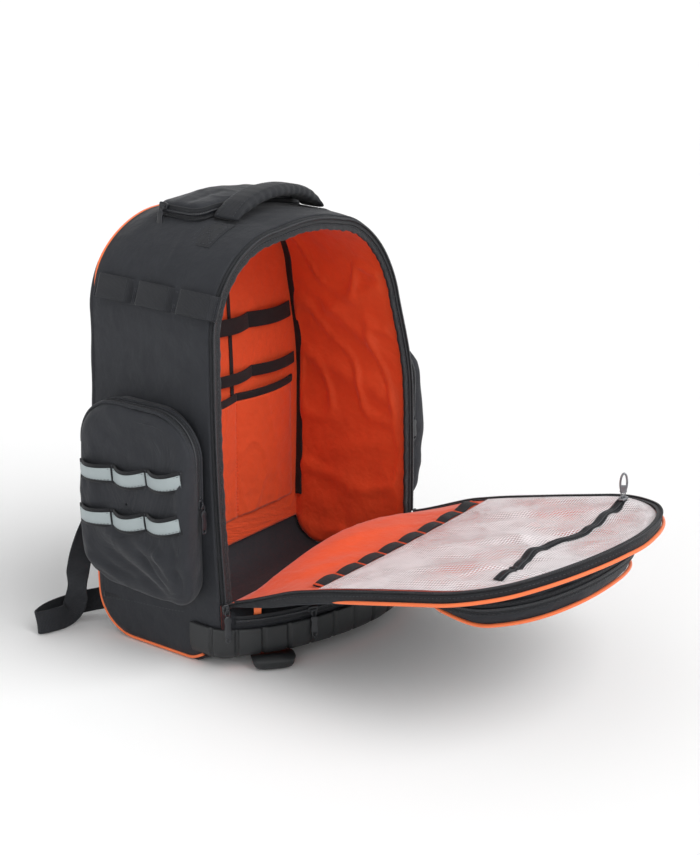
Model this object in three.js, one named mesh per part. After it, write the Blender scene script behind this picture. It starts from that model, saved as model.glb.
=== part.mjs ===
// A tool backpack that stands open, its front flap folded down.
// Millimetres, +Z up. The front faces -Y, and the flat underside lies at Z = 0.
import * as THREE from "three";

// Main body
const HALF_WIDTH = 172; // outside, at the foot of the sides
const SIDE_BULGE = 4; // how far the sides swell at mid height
const FRONT_Y = -60; // plane of the opening at the hinge
const FRONT_LEAN = 14; // how far the top of the opening leans back
const BACK_Y = 113; // front face of the padded back
const TOP_FRONT = 447; // crown of the opening arch
const TOP_BACK = 457; // crown of the back arch
const CORNER_X = 108; // shoulder of the arch, across
const CORNER_Z = 100; // shoulder of the arch, up
const CROWN = 4; // drop of the top from its middle to the shoulder
const HINGE_Z = 67; // fold line of the flap
const CLOTH = 2.8; // laminated outer cloth with its padding
const LINING = 1.5;
const GAP = 0.5; // clearance between neighbouring pieces
const BACK_THICK = 15; // padded back

// Underside
const HEEL_RADIUS = 50; // round lower back corner
const FLAT_FRONT = -16; // the flat underside runs from here to the heel
const RISE_FRONT = -52; // where the raised front underside starts
const RISE = 13.8; // height of the front underside over the floor

// Moulded base
const BASE_HALF = 182;
const BASE_REACH = 88; // how far its front stands before RISE_FRONT
const BASE_POWER = 1.7; // plan curve between a lozenge and an ellipse
const BASE_END = -24; // rear end of its side wings
const BASE_TOP = 47;
const BASE_BOTTOM = 13.4;
const BASE_WALL = 4.2;
const BASE_LIP = 15; // how far it turns in under the bag
const LIP_FROM = 68; // the lip grows between these distances before the bag's middle
const LIP_FULL = 86;
const RIB_COUNT = 17;
const GROOVE_SHARE = 0.16; // share of a rib's pitch
const GROOVE_DEPTH = 2.4;
const FOOT = { x: 136, y: -98, long: 52, wide: 34, high: 13 };

// Flap
const FLAP_HALF = 166;
const FLAP_STRAIGHT = -318; // its sides are straight up to here
const FLAP_TIP = -441;
const FLAP_POWER = 1.85;
const RIM_HIGH = 15;
const RIM_WALL = 3;
const FLAP_CREST = 26; // height of the fold over the hinge, at the middle
const FLAP_CREST_Y = -86;
const FLAP_CREST_REACH = 46;

// Webbing, zips and cords
const WEBBING = 25;
const WEBBING_THICK = 2.2;
const ZIP_WIDE = 6;
const ZIP_THICK = 2;
const PIPING = 1.9; // radius

const root = new THREE.Group();
root.name = "tool_backpack";

const MATERIALS = {
  cloth: { color: 0x2b2c2f, roughness: 0.9, metalness: 0 },
  webbing: { color: 0x232427, roughness: 0.85, metalness: 0 },
  orange: { color: 0xf2702f, roughness: 0.8, metalness: 0 },
  piping: { color: 0xff6a2a, roughness: 0.6, metalness: 0 },
  rubber: { color: 0x2e3032, roughness: 0.6, metalness: 0 },
  zip: { color: 0x1c1d1f, roughness: 0.5, metalness: 0 },
  reflective: { color: 0xb4bec0, roughness: 0.4, metalness: 0 },
  mesh: { color: 0xece4e6, roughness: 0.8, metalness: 0 },
  steel: { color: 0x8a8d90, roughness: 0.35, metalness: 1 },
};

function addMesh(name, geometry, material) {
  const mesh = new THREE.Mesh(geometry, new THREE.MeshStandardMaterial(MATERIALS[material]));
  mesh.name = name;
  root.add(mesh);
  return mesh;
}

const V = (x, y, z) => new THREE.Vector3(x, y, z);
const mix = (a, b, t) => a + (b - a) * t;
const clamp = (t, lo = 0, hi = 1) => Math.min(hi, Math.max(lo, t));
const smooth = (a, b, t) => {
  const k = clamp((t - a) / (b - a));
  return k * k * (3 - 2 * k);
};
const spread = (count, from = 0, to = 1) =>
  Array.from({ length: count + 1 }, (_, i) => mix(from, to, i / count));

// Collects triangles over points that are merged by place, and leaves out those that collapse.
class Faces {
  constructor() {
    this.points = [];
    this.keys = new Map();
    this.index = [];
  }
  at(p) {
    const key = [p.x, p.y, p.z].map((c) => Math.round(c * 2000)).join();
    if (!this.keys.has(key)) {
      this.keys.set(key, this.points.length);
      this.points.push(p);
    }
    return this.keys.get(key);
  }
  tri(a, b, c) {
    const [i, j, k] = [a, b, c].map((p) => this.at(p));
    if (i !== j && j !== k && k !== i) this.index.push(i, j, k);
  }
  quad(a, b, c, d) {
    this.tri(a, b, c);
    this.tri(a, c, d);
  }
  geometry() {
    const g = new THREE.BufferGeometry();
    g.setAttribute(
      "position",
      new THREE.Float32BufferAttribute(this.points.flatMap((p) => [p.x, p.y, p.z]), 3),
    );
    g.setIndex(this.index);
    if (signedVolume(this) < 0) {
      for (let i = 0; i < this.index.length; i += 3) {
        [this.index[i], this.index[i + 1]] = [this.index[i + 1], this.index[i]];
      }
      g.setIndex(this.index);
    }
    g.computeVertexNormals();
    return g;
  }
}

function signedVolume({ points, index }) {
  let sum = 0;
  for (let i = 0; i < index.length; i += 3) {
    const [a, b, c] = [0, 1, 2].map((k) => points[index[i + k]]);
    sum += a.dot(V(0, 0, 0).crossVectors(b, c));
  }
  return sum / 6;
}

// A closed skin between two grids of points, rows[v][u], with rims along the open edges.
function skin(outer, inner, closedU = false) {
  const f = new Faces();
  const rows = outer.length;
  const cols = outer[0].length;
  const spans = closedU ? cols : cols - 1;
  for (let v = 0; v + 1 < rows; v++) {
    for (let u = 0; u < spans; u++) {
      const w = (u + 1) % cols;
      f.quad(outer[v][u], outer[v][w], outer[v + 1][w], outer[v + 1][u]);
      f.quad(inner[v][u], inner[v + 1][u], inner[v + 1][w], inner[v][w]);
    }
  }
  for (let u = 0; u < spans; u++) {
    const w = (u + 1) % cols;
    f.quad(outer[0][w], outer[0][u], inner[0][u], inner[0][w]);
    f.quad(outer[rows - 1][u], outer[rows - 1][w], inner[rows - 1][w], inner[rows - 1][u]);
  }
  if (!closedU) {
    for (let v = 0; v + 1 < rows; v++) {
      const c = cols - 1;
      f.quad(outer[v][0], outer[v + 1][0], inner[v + 1][0], inner[v][0]);
      f.quad(outer[v + 1][c], outer[v][c], inner[v][c], inner[v + 1][c]);
    }
  }
  return f.geometry();
}

// The grid moved along its own normals. A row that is one point moves along their mean.
function moved(rows, by, closedU = false) {
  const last = rows.length - 1;
  const cols = rows[0].length;
  const at = (v, u) => rows[clamp(v, 0, last)][closedU ? (u + cols) % cols : clamp(u, 0, cols - 1)];
  const normals = rows.map((row, v) =>
    row.map((_, u) => {
      const du = at(v, u + 1).clone().sub(at(v, u - 1));
      const dv = at(v + 1, u).clone().sub(at(v - 1, u));
      return du.cross(dv).normalize();
    }),
  );
  normals.forEach((row, v) => {
    const single = rows[v].every((p) => p.distanceTo(rows[v][0]) < 0.01);
    if (!single) return;
    const near = normals[v === 0 ? 1 : v - 1];
    const mean = near.reduce((s, n) => s.add(n), V(0, 0, 0)).normalize();
    normals[v] = row.map(() => mean);
  });
  return rows.map((row, v) => row.map((p, u) => p.clone().addScaledVector(normals[v][u], by)));
}

// A cloth sheet: a grid and its copy, thick apart. A negative thickness grows to the other side.
const sheet = (rows, thick, closedU = false) => skin(rows, moved(rows, thick, closedU), closedU);

// A solid through closed rings of points, with a flat cap at each end.
function loft(rings, closed = false) {
  const f = new Faces();
  const n = rings[0].length;
  const spans = closed ? rings.length : rings.length - 1;
  for (let v = 0; v < spans; v++) {
    const a = rings[v];
    const b = rings[(v + 1) % rings.length];
    for (let u = 0; u < n; u++) f.quad(a[u], a[(u + 1) % n], b[(u + 1) % n], b[u]);
  }
  if (!closed) {
    const cap = (ring, turn) => {
      const mid = ring.reduce((s, p) => s.add(p), V(0, 0, 0)).divideScalar(n);
      ring.forEach((p, u) => {
        const q = ring[(u + 1) % n];
        if (turn) f.tri(mid, q, p);
        else f.tri(mid, p, q);
      });
    };
    cap(rings[0], true);
    cap(rings[rings.length - 1], false);
  }
  return f.geometry();
}

// A cord or strap: a section of [across, up] points carried along a path of points.
// side gives the direction of "across" at each point.
function carried(path, section, side, closed = false) {
  const n = path.length;
  const rings = path.map((p, i) => {
    const before = path[closed ? (i + n - 1) % n : Math.max(0, i - 1)];
    const after = path[closed ? (i + 1) % n : Math.min(n - 1, i + 1)];
    const along = after.clone().sub(before).normalize();
    const across = side(p, along, i).clone();
    across.addScaledVector(along, -across.dot(along)).normalize();
    const up = V(0, 0, 0).crossVectors(along, across);
    return section.map(([a, b]) => p.clone().addScaledVector(across, a).addScaledVector(up, b));
  });
  return loft(rings, closed);
}

const roundSection = (radius, count = 5) =>
  spread(count).slice(0, -1).map((t) => {
    const a = t * Math.PI * 2;
    return [radius * Math.cos(a), radius * Math.sin(a)];
  });
const flatSection = (wide, thick) => [
  [-wide / 2, -thick / 2],
  [wide / 2, -thick / 2],
  [wide / 2, thick / 2],
  [-wide / 2, thick / 2],
];
const curve = (points, count) => new THREE.CatmullRomCurve3(points, false, "centripetal").getPoints(count);

// shapes of the bag
// Front plane of the opening at a height.
const frontY = (z) =>
  FRONT_Y + FRONT_LEAN * Math.max(0, (z - HINGE_Z) / (TOP_FRONT - HINGE_Z));

// The arch that both ends of the bag share, from the left foot (s = -1) over the crown to the right foot.
const CROWN_SHARE = 2 / 11;
const SHOULDER_SHARE = 8 / 11;
const ARCH_STEPS = 22;
function arch(s, inset, top, low) {
  const a = Math.abs(s);
  const flat = HALF_WIDTH - CORNER_X;
  const rx = CORNER_X - inset;
  const rz = CORNER_Z - inset;
  const shoulder = top - inset - CROWN;
  if (a <= CROWN_SHARE) {
    const k = a / CROWN_SHARE;
    return { x: Math.sign(s) * flat * k, z: top - inset - CROWN * k * k };
  }
  if (a <= SHOULDER_SHARE) {
    const turn = (((a - CROWN_SHARE) / (SHOULDER_SHARE - CROWN_SHARE)) * Math.PI) / 2;
    return {
      x: Math.sign(s) * (flat + rx * Math.sin(turn)),
      z: shoulder - rz * (1 - Math.cos(turn)),
    };
  }
  const k = (a - SHOULDER_SHARE) / (1 - SHOULDER_SHARE);
  return {
    x: Math.sign(s) * (HALF_WIDTH - inset + SIDE_BULGE * Math.sin(Math.PI * k)),
    z: mix(shoulder - rz, low, k),
  };
}

// Height of the underside at a depth; inset lifts it into the bag.
const HEEL_Y = BACK_Y - HEEL_RADIUS;
function undersideZ(y, inset) {
  if (y <= HEEL_Y) return inset + RISE * (1 - smooth(RISE_FRONT, FLAT_FRONT, y));
  const r = HEEL_RADIUS - inset;
  return HEEL_RADIUS - Math.sqrt(Math.max(0, r * r - (y - HEEL_Y) ** 2));
}

// Depths at which the skin has a section: close together where the underside bends.
const SKIN_BACK = BACK_Y - CLOTH - GAP;
const HEEL_STEPS = 5;
const heelTurns = spread(HEEL_STEPS, 0, Math.PI / 2);
const riseDepths = spread(2, RISE_FRONT, FLAT_FRONT);
const skinDepths = [
  FRONT_Y,
  ...riseDepths,
  ...heelTurns.map((turn) => HEEL_Y + (HEEL_RADIUS - CLOTH - GAP) * Math.sin(turn)),
];

// The bent skin's rows of points, inset from the outside and ending at back.
const archShares = spread(ARCH_STEPS, -1, 1);
function bagRows(inset, back = SKIN_BACK, front = 0, lift = 0) {
  return skinDepths.map((depth) => {
    const t = (depth - FRONT_Y) / (SKIN_BACK - FRONT_Y);
    const footY = mix(FRONT_Y + front, back, t);
    const top = mix(TOP_FRONT, TOP_BACK, (footY - FRONT_Y) / (SKIN_BACK - FRONT_Y));
    const low = undersideZ(footY, CLOTH + GAP) + lift;
    return archShares.map((s) => {
      const p = arch(s, inset, top, low);
      return V(p.x, mix(frontY(p.z) + front, back, t), p.z);
    });
  });
}

addMesh("body_shell", skin(bagRows(0), bagRows(CLOTH)), "cloth");

// Lining of the sides and top, inside the shell.
const LINING_INSET = CLOTH + GAP;
const LINING_BACK = 105;
const LINING_FRONT = 5; // it starts this far behind the opening's plane
const LINING_LIFT = 1; // it stands this far over the bottom
addMesh(
  "body_lining",
  skin(
    bagRows(LINING_INSET, LINING_BACK, LINING_FRONT, LINING_LIFT),
    bagRows(LINING_INSET + LINING, LINING_BACK, LINING_FRONT, LINING_LIFT),
  ),
  "orange",
);

// A plate with the arch's outline, from y0 back through the given steps.
function archPlate(steps, top, low) {
  const rings = steps.map(({ y, inset }) =>
    archShares.map((s) => {
      const p = arch(s, inset, top, low + inset);
      return V(p.x, y, p.z);
    }),
  );
  return loft(rings);
}
const BACK_LINING_Y = LINING_BACK + GAP;
const backTop = (y) => mix(TOP_FRONT, TOP_BACK, (y - FRONT_Y) / (BACK_Y - FRONT_Y));
addMesh(
  "back_lining",
  archPlate(
    [
      { y: BACK_LINING_Y, inset: LINING_INSET + GAP },
      { y: BACK_LINING_Y + LINING, inset: LINING_INSET + GAP },
    ],
    backTop(BACK_LINING_Y) - 1,
    undersideZ(BACK_LINING_Y + LINING, CLOTH + GAP),
  ),
  "orange",
);
const BACK_LOW = HEEL_RADIUS + 3;
addMesh(
  "back_panel",
  archPlate(
    [
      { y: BACK_Y, inset: 0.3 },
      { y: BACK_Y + 3, inset: 0 },
      { y: BACK_Y + 0.55 * BACK_THICK, inset: 0 },
      { y: BACK_Y + 0.85 * BACK_THICK, inset: 3 },
      { y: BACK_Y + BACK_THICK, inset: 9 },
    ],
    TOP_BACK,
    BACK_LOW,
  ),
  "cloth",
);

// Plan curve of the moulded base, and what stands inside it.
function plan(turn, inset) {
  const c = Math.abs(Math.cos(turn)) ** (2 / BASE_POWER);
  const s = Math.abs(Math.sin(turn)) ** (2 / BASE_POWER) * Math.sign(turn);
  return { x: (BASE_HALF - inset) * s, y: RISE_FRONT - (BASE_REACH - inset) * c };
}
const planY = (x, inset) => {
  const k = Math.min(1, Math.abs(x) / (BASE_HALF - inset));
  return RISE_FRONT - (BASE_REACH - inset) * (1 - k ** BASE_POWER) ** (1 / BASE_POWER);
};

// Underside, from the lip of the base to the heel and up to the padded back.
const BOTTOM_HALF = HALF_WIDTH - 1;
const UNDER_INSET = BASE_LIP + 9; // its front edge, in from the base
const bottomRows = (inset) => {
  const across = spread(10, -1, 1).map((u) => BOTTOM_HALF * u);
  const front = [0, 0.5].map((k) =>
    across.map((x) => V(x, mix(planY(x, UNDER_INSET), RISE_FRONT, k), RISE + inset)),
  );
  const flat = riseDepths.map((y) => across.map((x) => V(x, y, undersideZ(y, inset))));
  const heel = heelTurns.map((turn) => {
    const r = HEEL_RADIUS - inset;
    return across.map((x) => V(x, HEEL_Y + r * Math.sin(turn), HEEL_RADIUS - r * Math.cos(turn)));
  });
  return [...front, ...flat, ...heel];
};
addMesh("bottom_panel", skin(bottomRows(0), bottomRows(CLOTH)), "cloth");

// Lower front panel: from the hinge forward and down inside the base.
const SILL_TURN = (76 / 180) * Math.PI;
const SILL_ROWS = [
  { inset: 10, z: 59 },
  { inset: 7.5, z: 52 },
  { inset: BASE_WALL + 2.6, z: 45 },
  { inset: BASE_WALL + 3, z: RISE + CLOTH + 8 },
];
const SILL_TOP = HINGE_Z - 1.9;
const SILL_HINGE = { half: HALF_WIDTH - 9, y: FRONT_Y - 3.4 }; // where the panel meets the flap
const sillRows = (() => {
  const turns = spread(14, -SILL_TURN, SILL_TURN);
  const hinge = turns.map((turn) => V(SILL_HINGE.half * (turn / SILL_TURN), SILL_HINGE.y, SILL_TOP));
  const rest = SILL_ROWS.map(({ inset, z }) =>
    turns.map((turn) => {
      const p = plan(turn, inset);
      return V(p.x, p.y, z);
    }),
  );
  const middle = hinge.map((p, i) => p.clone().lerp(rest[0][i], 0.5).add(V(0, 0, 1)));
  return [hinge, middle, ...rest];
})();
addMesh("front_sill", sheet(sillRows, CLOTH), "cloth");

// Moulded base: a ribbed wall with a lip turned in below, swept round the front.
function basePath() {
  const wing = spread(3, BASE_END, RISE_FRONT).slice(0, -1);
  const front = spread(60, -Math.PI / 2, Math.PI / 2).map((turn) => plan(turn, 0));
  return [
    ...wing.map((y) => ({ x: -BASE_HALF, y })),
    ...front,
    ...wing.map((y) => ({ x: BASE_HALF, y })).reverse(),
  ].map((p) => V(p.x, p.y, 0));
}
const baseCurve = new THREE.CatmullRomCurve3(basePath(), false, "centripetal");
baseCurve.arcLengthDivisions = 800;
function baseRing(share, groove) {
  const p = baseCurve.getPointAt(share);
  const along = baseCurve.getTangentAt(share);
  const out = V(-along.y, along.x, 0).multiplyScalar(-1).normalize();
  const lip = smooth(LIP_FROM, LIP_FULL, -p.y);
  const g = groove ? GROOVE_DEPTH : 0;
  const turned = (n) => mix(-BASE_WALL, n, lip);
  const section = [
    [-1.2 - g, BASE_TOP - g * 0.5],
    [-g, BASE_TOP - 3],
    [-g, 25],
    [-2.2 - g * 0.8, 18 + g * 0.5],
    [turned(-8) + (lip > 0 ? 0 : 0.2), BASE_BOTTOM + 1 + g * 0.5],
    [turned(-BASE_LIP), BASE_BOTTOM],
    [turned(-BASE_LIP), BASE_BOTTOM + 2.6],
    [-BASE_WALL, 23],
    [-BASE_WALL, BASE_TOP - g * 0.5],
  ];
  return section.map(([n, z]) => p.clone().addScaledVector(out, n).setZ(z));
}
const baseRings = [];
for (let i = 0; i < RIB_COUNT; i++) {
  const start = i / RIB_COUNT;
  const pitch = 1 / RIB_COUNT;
  const edge = pitch * GROOVE_SHARE * 0.5;
  baseRings.push(baseRing(start + (i ? edge * 1.5 : 0), false));
  baseRings.push(baseRing(start + pitch - (i < RIB_COUNT - 1 ? edge * 1.5 : 0), false));
  if (i < RIB_COUNT - 1) {
    baseRings.push(baseRing(start + pitch - edge * 0.5, true));
    baseRings.push(baseRing(start + pitch + edge * 0.5, true));
  }
}
addMesh("rubber_base", loft(baseRings), "rubber");

// Feet: tapered blocks under the front corners.
const FOOT_STEPS = [
  { z: 0, grow: -7 },
  { z: 3, grow: -3 },
  { z: FOOT.high, grow: 0 },
];
for (const [name, side] of [["foot_left", -1], ["foot_right", 1]]) {
  const slant = 0.72; // the block follows the corner of the base
  const rings = FOOT_STEPS.map(({ z, grow }) =>
    spread(12).slice(0, -1).map((t) => {
      const a = t * Math.PI * 2;
      const round = (v) => Math.sign(v) * Math.abs(v) ** 0.55;
      const i = (FOOT.long / 2 + grow) * round(Math.cos(a));
      const j = (FOOT.wide / 2 + grow) * round(Math.sin(a));
      const x = i * Math.cos(slant) + j * Math.sin(slant);
      const y = i * Math.sin(slant) - j * Math.cos(slant);
      return V(side * (FOOT.x + x), FOOT.y + y, z);
    }),
  );
  addMesh(name, loft(rings), "rubber");
}

// Orange cord round the back edge and along the lower side seams.
const PIPE_OUT = 1.5;
const PIPE_Y = (SKIN_BACK + BACK_Y) / 2;
const pipingPath = (() => {
  const side = (x) => {
    const line = spread(3, FLAT_FRONT, HEEL_Y).map((y) => V(x, y, CLOTH));
    const heel = spread(6, 0, Math.PI / 2).slice(1).map((turn) => {
      const r = HEEL_RADIUS - CLOTH;
      const out = mix(x, (Math.abs(x) - 1) * Math.sign(x), turn / (Math.PI / 2));
      return V(out, HEEL_Y + (r + 1) * Math.sin(turn), HEEL_RADIUS - r * Math.cos(turn));
    });
    return [...line, ...heel];
  };
  const foot = HALF_WIDTH + PIPING + GAP;
  const over = archShares.slice(1, -1).map((s) => {
    const p = arch(s, -PIPE_OUT, TOP_BACK, BACK_LOW);
    return V(p.x, PIPE_Y, p.z);
  });
  return [...side(-foot), ...over, ...side(foot).reverse()];
})();
addMesh("back_piping", carried(pipingPath, roundSection(PIPING), () => V(0, 1, 0.3)), "piping");

// Bound edge of the opening and its zip chain.
const BAND_WIDE = 13;
const BAND_THICK = 2.4;
const bandRow = (inset, y) =>
  archShares.map((s) => {
    const p = arch(s, inset, TOP_FRONT, HINGE_Z + 4);
    return V(p.x, frontY(p.z) - y, p.z);
  });
addMesh(
  "opening_band",
  skin(
    [bandRow(0, GAP), bandRow(0, GAP + BAND_THICK), bandRow(BAND_WIDE, GAP + BAND_THICK)],
    [bandRow(2, GAP), bandRow(2, GAP + 0.6), bandRow(BAND_WIDE, GAP)],
  ),
  "cloth",
);
addMesh(
  "body_zipper",
  carried(
    archShares.map((s) => {
      const p = arch(s, 3.6, TOP_FRONT, HINGE_Z + 6);
      return V(p.x, frontY(p.z) - 2 * GAP - BAND_THICK - ZIP_THICK / 2, p.z);
    }),
    flatSection(ZIP_THICK, ZIP_WIDE),
    () => V(0, 1, 0),
  ),
  "zip",
);

// A zip slider with its hanging pull, seen from the front.
function zipPull(at, wide, long, thick, lean = V(0, 0, 0)) {
  const rows = [
    { k: 0, w: 0.8 },
    { k: 0.18, w: 1 },
    { k: 0.22, w: 0.45 },
    { k: 0.34, w: 0.45 },
    { k: 0.4, w: 0.8 },
    { k: 0.95, w: 0.8 },
    { k: 1, w: 0.5 },
  ];
  return rows.map(({ k, w }) => {
    const c = at.clone().add(V(0, 0, -long * k)).addScaledVector(lean, k);
    const half = (wide * w) / 2;
    return { c, half, thick };
  });
}
const pullAlong = (parts, across, out) =>
  loft(
    parts.map(({ c, half, thick }) => [
      c.clone().addScaledVector(across, -half).addScaledVector(out, -thick / 2),
      c.clone().addScaledVector(across, half).addScaledVector(out, -thick / 2),
      c.clone().addScaledVector(across, half).addScaledVector(out, thick / 2),
      c.clone().addScaledVector(across, -half).addScaledVector(out, thick / 2),
    ]),
  );
const X = V(1, 0, 0);
const Y = V(0, 1, 0);
for (const [name, side] of [["main_pull_left", -1], ["main_pull_right", 1]]) {
  const at = V(side * (HALF_WIDTH + 1), FRONT_Y - 6.2, HINGE_Z + 4);
  const lean = V(side * 10, -10, 0);
  addMesh(name, pullAlong(zipPull(at, 9, 30, 2.4, lean), V(0.35, 0.94, 0), V(0.94, -0.35, 0)), "zip");
}

// inside of the back
const ORGANISER_Y = BACK_LINING_Y - 0.3;
const POCKET = { half: 156, low: 62, top: 206, puff: 9, count: 3, thick: 1.3 };
const DIVIDER = { top: 418, x: 38, wide: 6, thick: 0.3 };
const frontOfTape = ORGANISER_Y - DIVIDER.thick - 0.25;
// Fullness of cloth between stitch lines, 0 on each line.
const fullness = (k, count) => Math.abs(Math.sin(Math.PI * k * count)) ** 0.8;
const across = (half, count) => spread(count, -1, 1).map((u) => ({ x: half * u, k: (u + 1) / 2 }));
const pocketY = (k, rise) => frontOfTape - POCKET.puff * fullness(k, POCKET.count) * (0.25 + 0.75 * rise);

addMesh(
  "organiser_pocket",
  sheet(
    spread(2).map((rise) =>
      across(POCKET.half, 18).map(({ x, k }) =>
        V(x, pocketY(k, rise), mix(POCKET.low, POCKET.top, rise)),
      ),
    ),
    POCKET.thick,
  ),
  "orange",
);
const beltAcross = (z, high, thick, depth) =>
  carried(
    across(POCKET.half, 20).map(({ x, k }) => V(x, depth(k), z)),
    flatSection(high, thick),
    () => V(0, 0, 1),
  );
addMesh(
  "organiser_binding",
  beltAcross(POCKET.top + 4 + GAP, 8, 2.2, (k) => pocketY(k, 1) - POCKET.thick / 2),
  "webbing",
);
const BELT_BULGE = 8;
const BELTS = [
  { name: "organiser_band_upper", z: 300, high: 20, loops: 4 },
  { name: "organiser_band_middle", z: 236, high: 14, loops: 4 },
];
for (const { name, z, high, loops } of BELTS) {
  addMesh(
    name,
    beltAcross(z, high, 1.6, (k) => frontOfTape - 0.8 - BELT_BULGE * fullness(k, loops)),
    "webbing",
  );
}
addMesh(
  "organiser_divider",
  carried(
    [POCKET.low + 8, DIVIDER.top].map((z) => V(DIVIDER.x, ORGANISER_Y - DIVIDER.thick / 2, z)),
    flatSection(DIVIDER.wide, DIVIDER.thick),
    () => X,
  ),
  "webbing",
);
const SEAM = { wide: 9, thick: 2, low: 60 }; // the bound seam stands forward round the back lining
addMesh(
  "back_seam_binding",
  carried(
    archShares.map((s) => {
      const inset = LINING_INSET + LINING + SEAM.thick / 2 + 2 * GAP;
      const p = arch(s, inset, backTop(ORGANISER_Y), SEAM.low);
      return V(p.x, ORGANISER_Y - SEAM.wide / 2, p.z);
    }),
    flatSection(SEAM.wide, SEAM.thick),
    () => Y,
  ),
  "webbing",
);

// top pocket and carry handle
// Height of the bag's top over a point of its plan.
function topZ(x, y) {
  const t = clamp((y - FRONT_Y - FRONT_LEAN) / (SKIN_BACK - FRONT_Y - FRONT_LEAN));
  const top = mix(TOP_FRONT, TOP_BACK, t);
  const flat = HALF_WIDTH - CORNER_X;
  const a = Math.abs(x);
  if (a <= flat) return top - CROWN * (a / flat) ** 2;
  const sine = Math.min(1, (a - flat) / CORNER_X);
  return top - CROWN - CORNER_Z * (1 - Math.sqrt(1 - sine * sine));
}
const TOP_POCKET = { half: 122, front: 33, back: 104, high: 21, wall: 2 };
const domeRows = (lift, share) =>
  spread(8, -1, 1).map((v) =>
    spread(12, -1, 1).map((u) => {
      const x = TOP_POCKET.half * u;
      const y = mix(TOP_POCKET.front, TOP_POCKET.back, (v + 1) / 2);
      const dome = (1 - Math.abs(u) ** 3.4) ** 0.55 * (1 - Math.abs(v) ** 2.6) ** 0.5;
      return V(x, y, topZ(x, y) + 1.2 + lift + TOP_POCKET.high * dome * share);
    }),
  );
addMesh("top_pocket", skin(domeRows(TOP_POCKET.wall, 1), domeRows(0, 0.92)), "cloth");
const topZipPath = (() => {
  const front = TOP_POCKET.front - 6;
  const side = TOP_POCKET.half + 7;
  const turn = 14;
  const corner = (sx) =>
    spread(4, 0, Math.PI / 2).map((a) => ({
      x: sx * (side - turn + turn * Math.cos(a)),
      y: front + turn - turn * Math.sin(a),
    }));
  const line = [
    { x: -side, y: 78 },
    ...corner(-1),
    ...spread(12, -side + turn, side - turn).slice(1, -1).map((x) => ({ x, y: front })),
    ...corner(1).reverse(),
    { x: side, y: 78 },
  ];
  return line.map(({ x, y }) => V(x, y, topZ(x, y) + 1.8 + ZIP_THICK / 2));
})();
const level = (p, along) => V(along.y, -along.x, 0);
addMesh("top_zipper", carried(topZipPath, flatSection(ZIP_WIDE, ZIP_THICK), level), "zip");

const HANDLE = { half: 78, y: 3, wide: 30, thick: 9, rise: 23 };
const softSection = (wide, thick) => {
  const w = wide / 2;
  const t = thick / 2;
  return [
    [-w, -t * 0.4],
    [-w * 0.8, -t],
    [w * 0.8, -t],
    [w, -t * 0.4],
    [w, t * 0.4],
    [w * 0.8, t],
    [-w * 0.8, t],
    [-w, t * 0.4],
  ];
};
const handlePath = spread(14, -1, 1).map((u) => {
  const x = HANDLE.half * u;
  const lift = HANDLE.rise * (1 - Math.abs(u) ** 2.6) ** 0.9;
  return V(x, HANDLE.y, topZ(x, HANDLE.y) - 0.2 + HANDLE.thick / 2 + lift);
});
addMesh("carry_handle", carried(handlePath, softSection(HANDLE.wide, HANDLE.thick), () => Y), "webbing");
for (const [name, side] of [["handle_patch_left", -1], ["handle_patch_right", 1]]) {
  const path = spread(6, HANDLE.half + 5, HANDLE.half + 46).map((x) =>
    V(side * x, HANDLE.y, topZ(x, HANDLE.y) + 1.6 + WEBBING_THICK / 2),
  );
  addMesh(name, carried(path, flatSection(HANDLE.wide, WEBBING_THICK), () => Y), "webbing");
}

// webbing ladder high on the left side
const LADDER = { z: TOP_FRONT - 67, loops: 3, bulge: 4, thick: WEBBING_THICK, from: -57, to: 104 };
const ladderShare = (() => {
  // share of the arch at which the skin has this height, found by halving
  let lo = CROWN_SHARE;
  let hi = 1;
  for (let i = 0; i < 30; i++) {
    const m = (lo + hi) / 2;
    if (arch(m, 0, TOP_FRONT, 0).z > LADDER.z) lo = m;
    else hi = m;
  }
  return lo;
})();
const ladderAt = (s) => {
  const p = arch(-s, 0, TOP_FRONT, 0);
  return V(p.x, 0, p.z);
};
const ladderUp = ladderAt(ladderShare - 0.01).sub(ladderAt(ladderShare + 0.01)).normalize();
const ladderOut = V(-Math.abs(ladderUp.z), 0, Math.abs(ladderUp.x)).normalize();
const ladderPath = spread(36).map((k) => {
  const y = mix(LADDER.to, LADDER.from, k);
  const t = (y - FRONT_Y) / (SKIN_BACK - FRONT_Y);
  const top = mix(TOP_FRONT, TOP_BACK, t);
  const p = arch(-ladderShare, 0, top, 0);
  const phase = (k * LADDER.loops) % 1;
  const loop = k === 0 || k === 1 ? 0 : smooth(0.04, 0.3, phase) * (1 - smooth(0.7, 0.96, phase));
  const chord = 1; // the flat strap stands off the round shoulder
  return V(p.x, y, p.z).addScaledVector(ladderOut, chord + LADDER.bulge * loop);
});
addMesh("webbing_ladder", carried(ladderPath, flatSection(WEBBING, LADDER.thick), () => ladderUp), "webbing");

// side pockets
const SIDE_POCKET = { front: -57, back: 98, low: 78, top: 272, deep: 30, wall: 2.2, sag: 7 };
const POCKET_ROUND = { top: 44, bottom: 20 };
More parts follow.
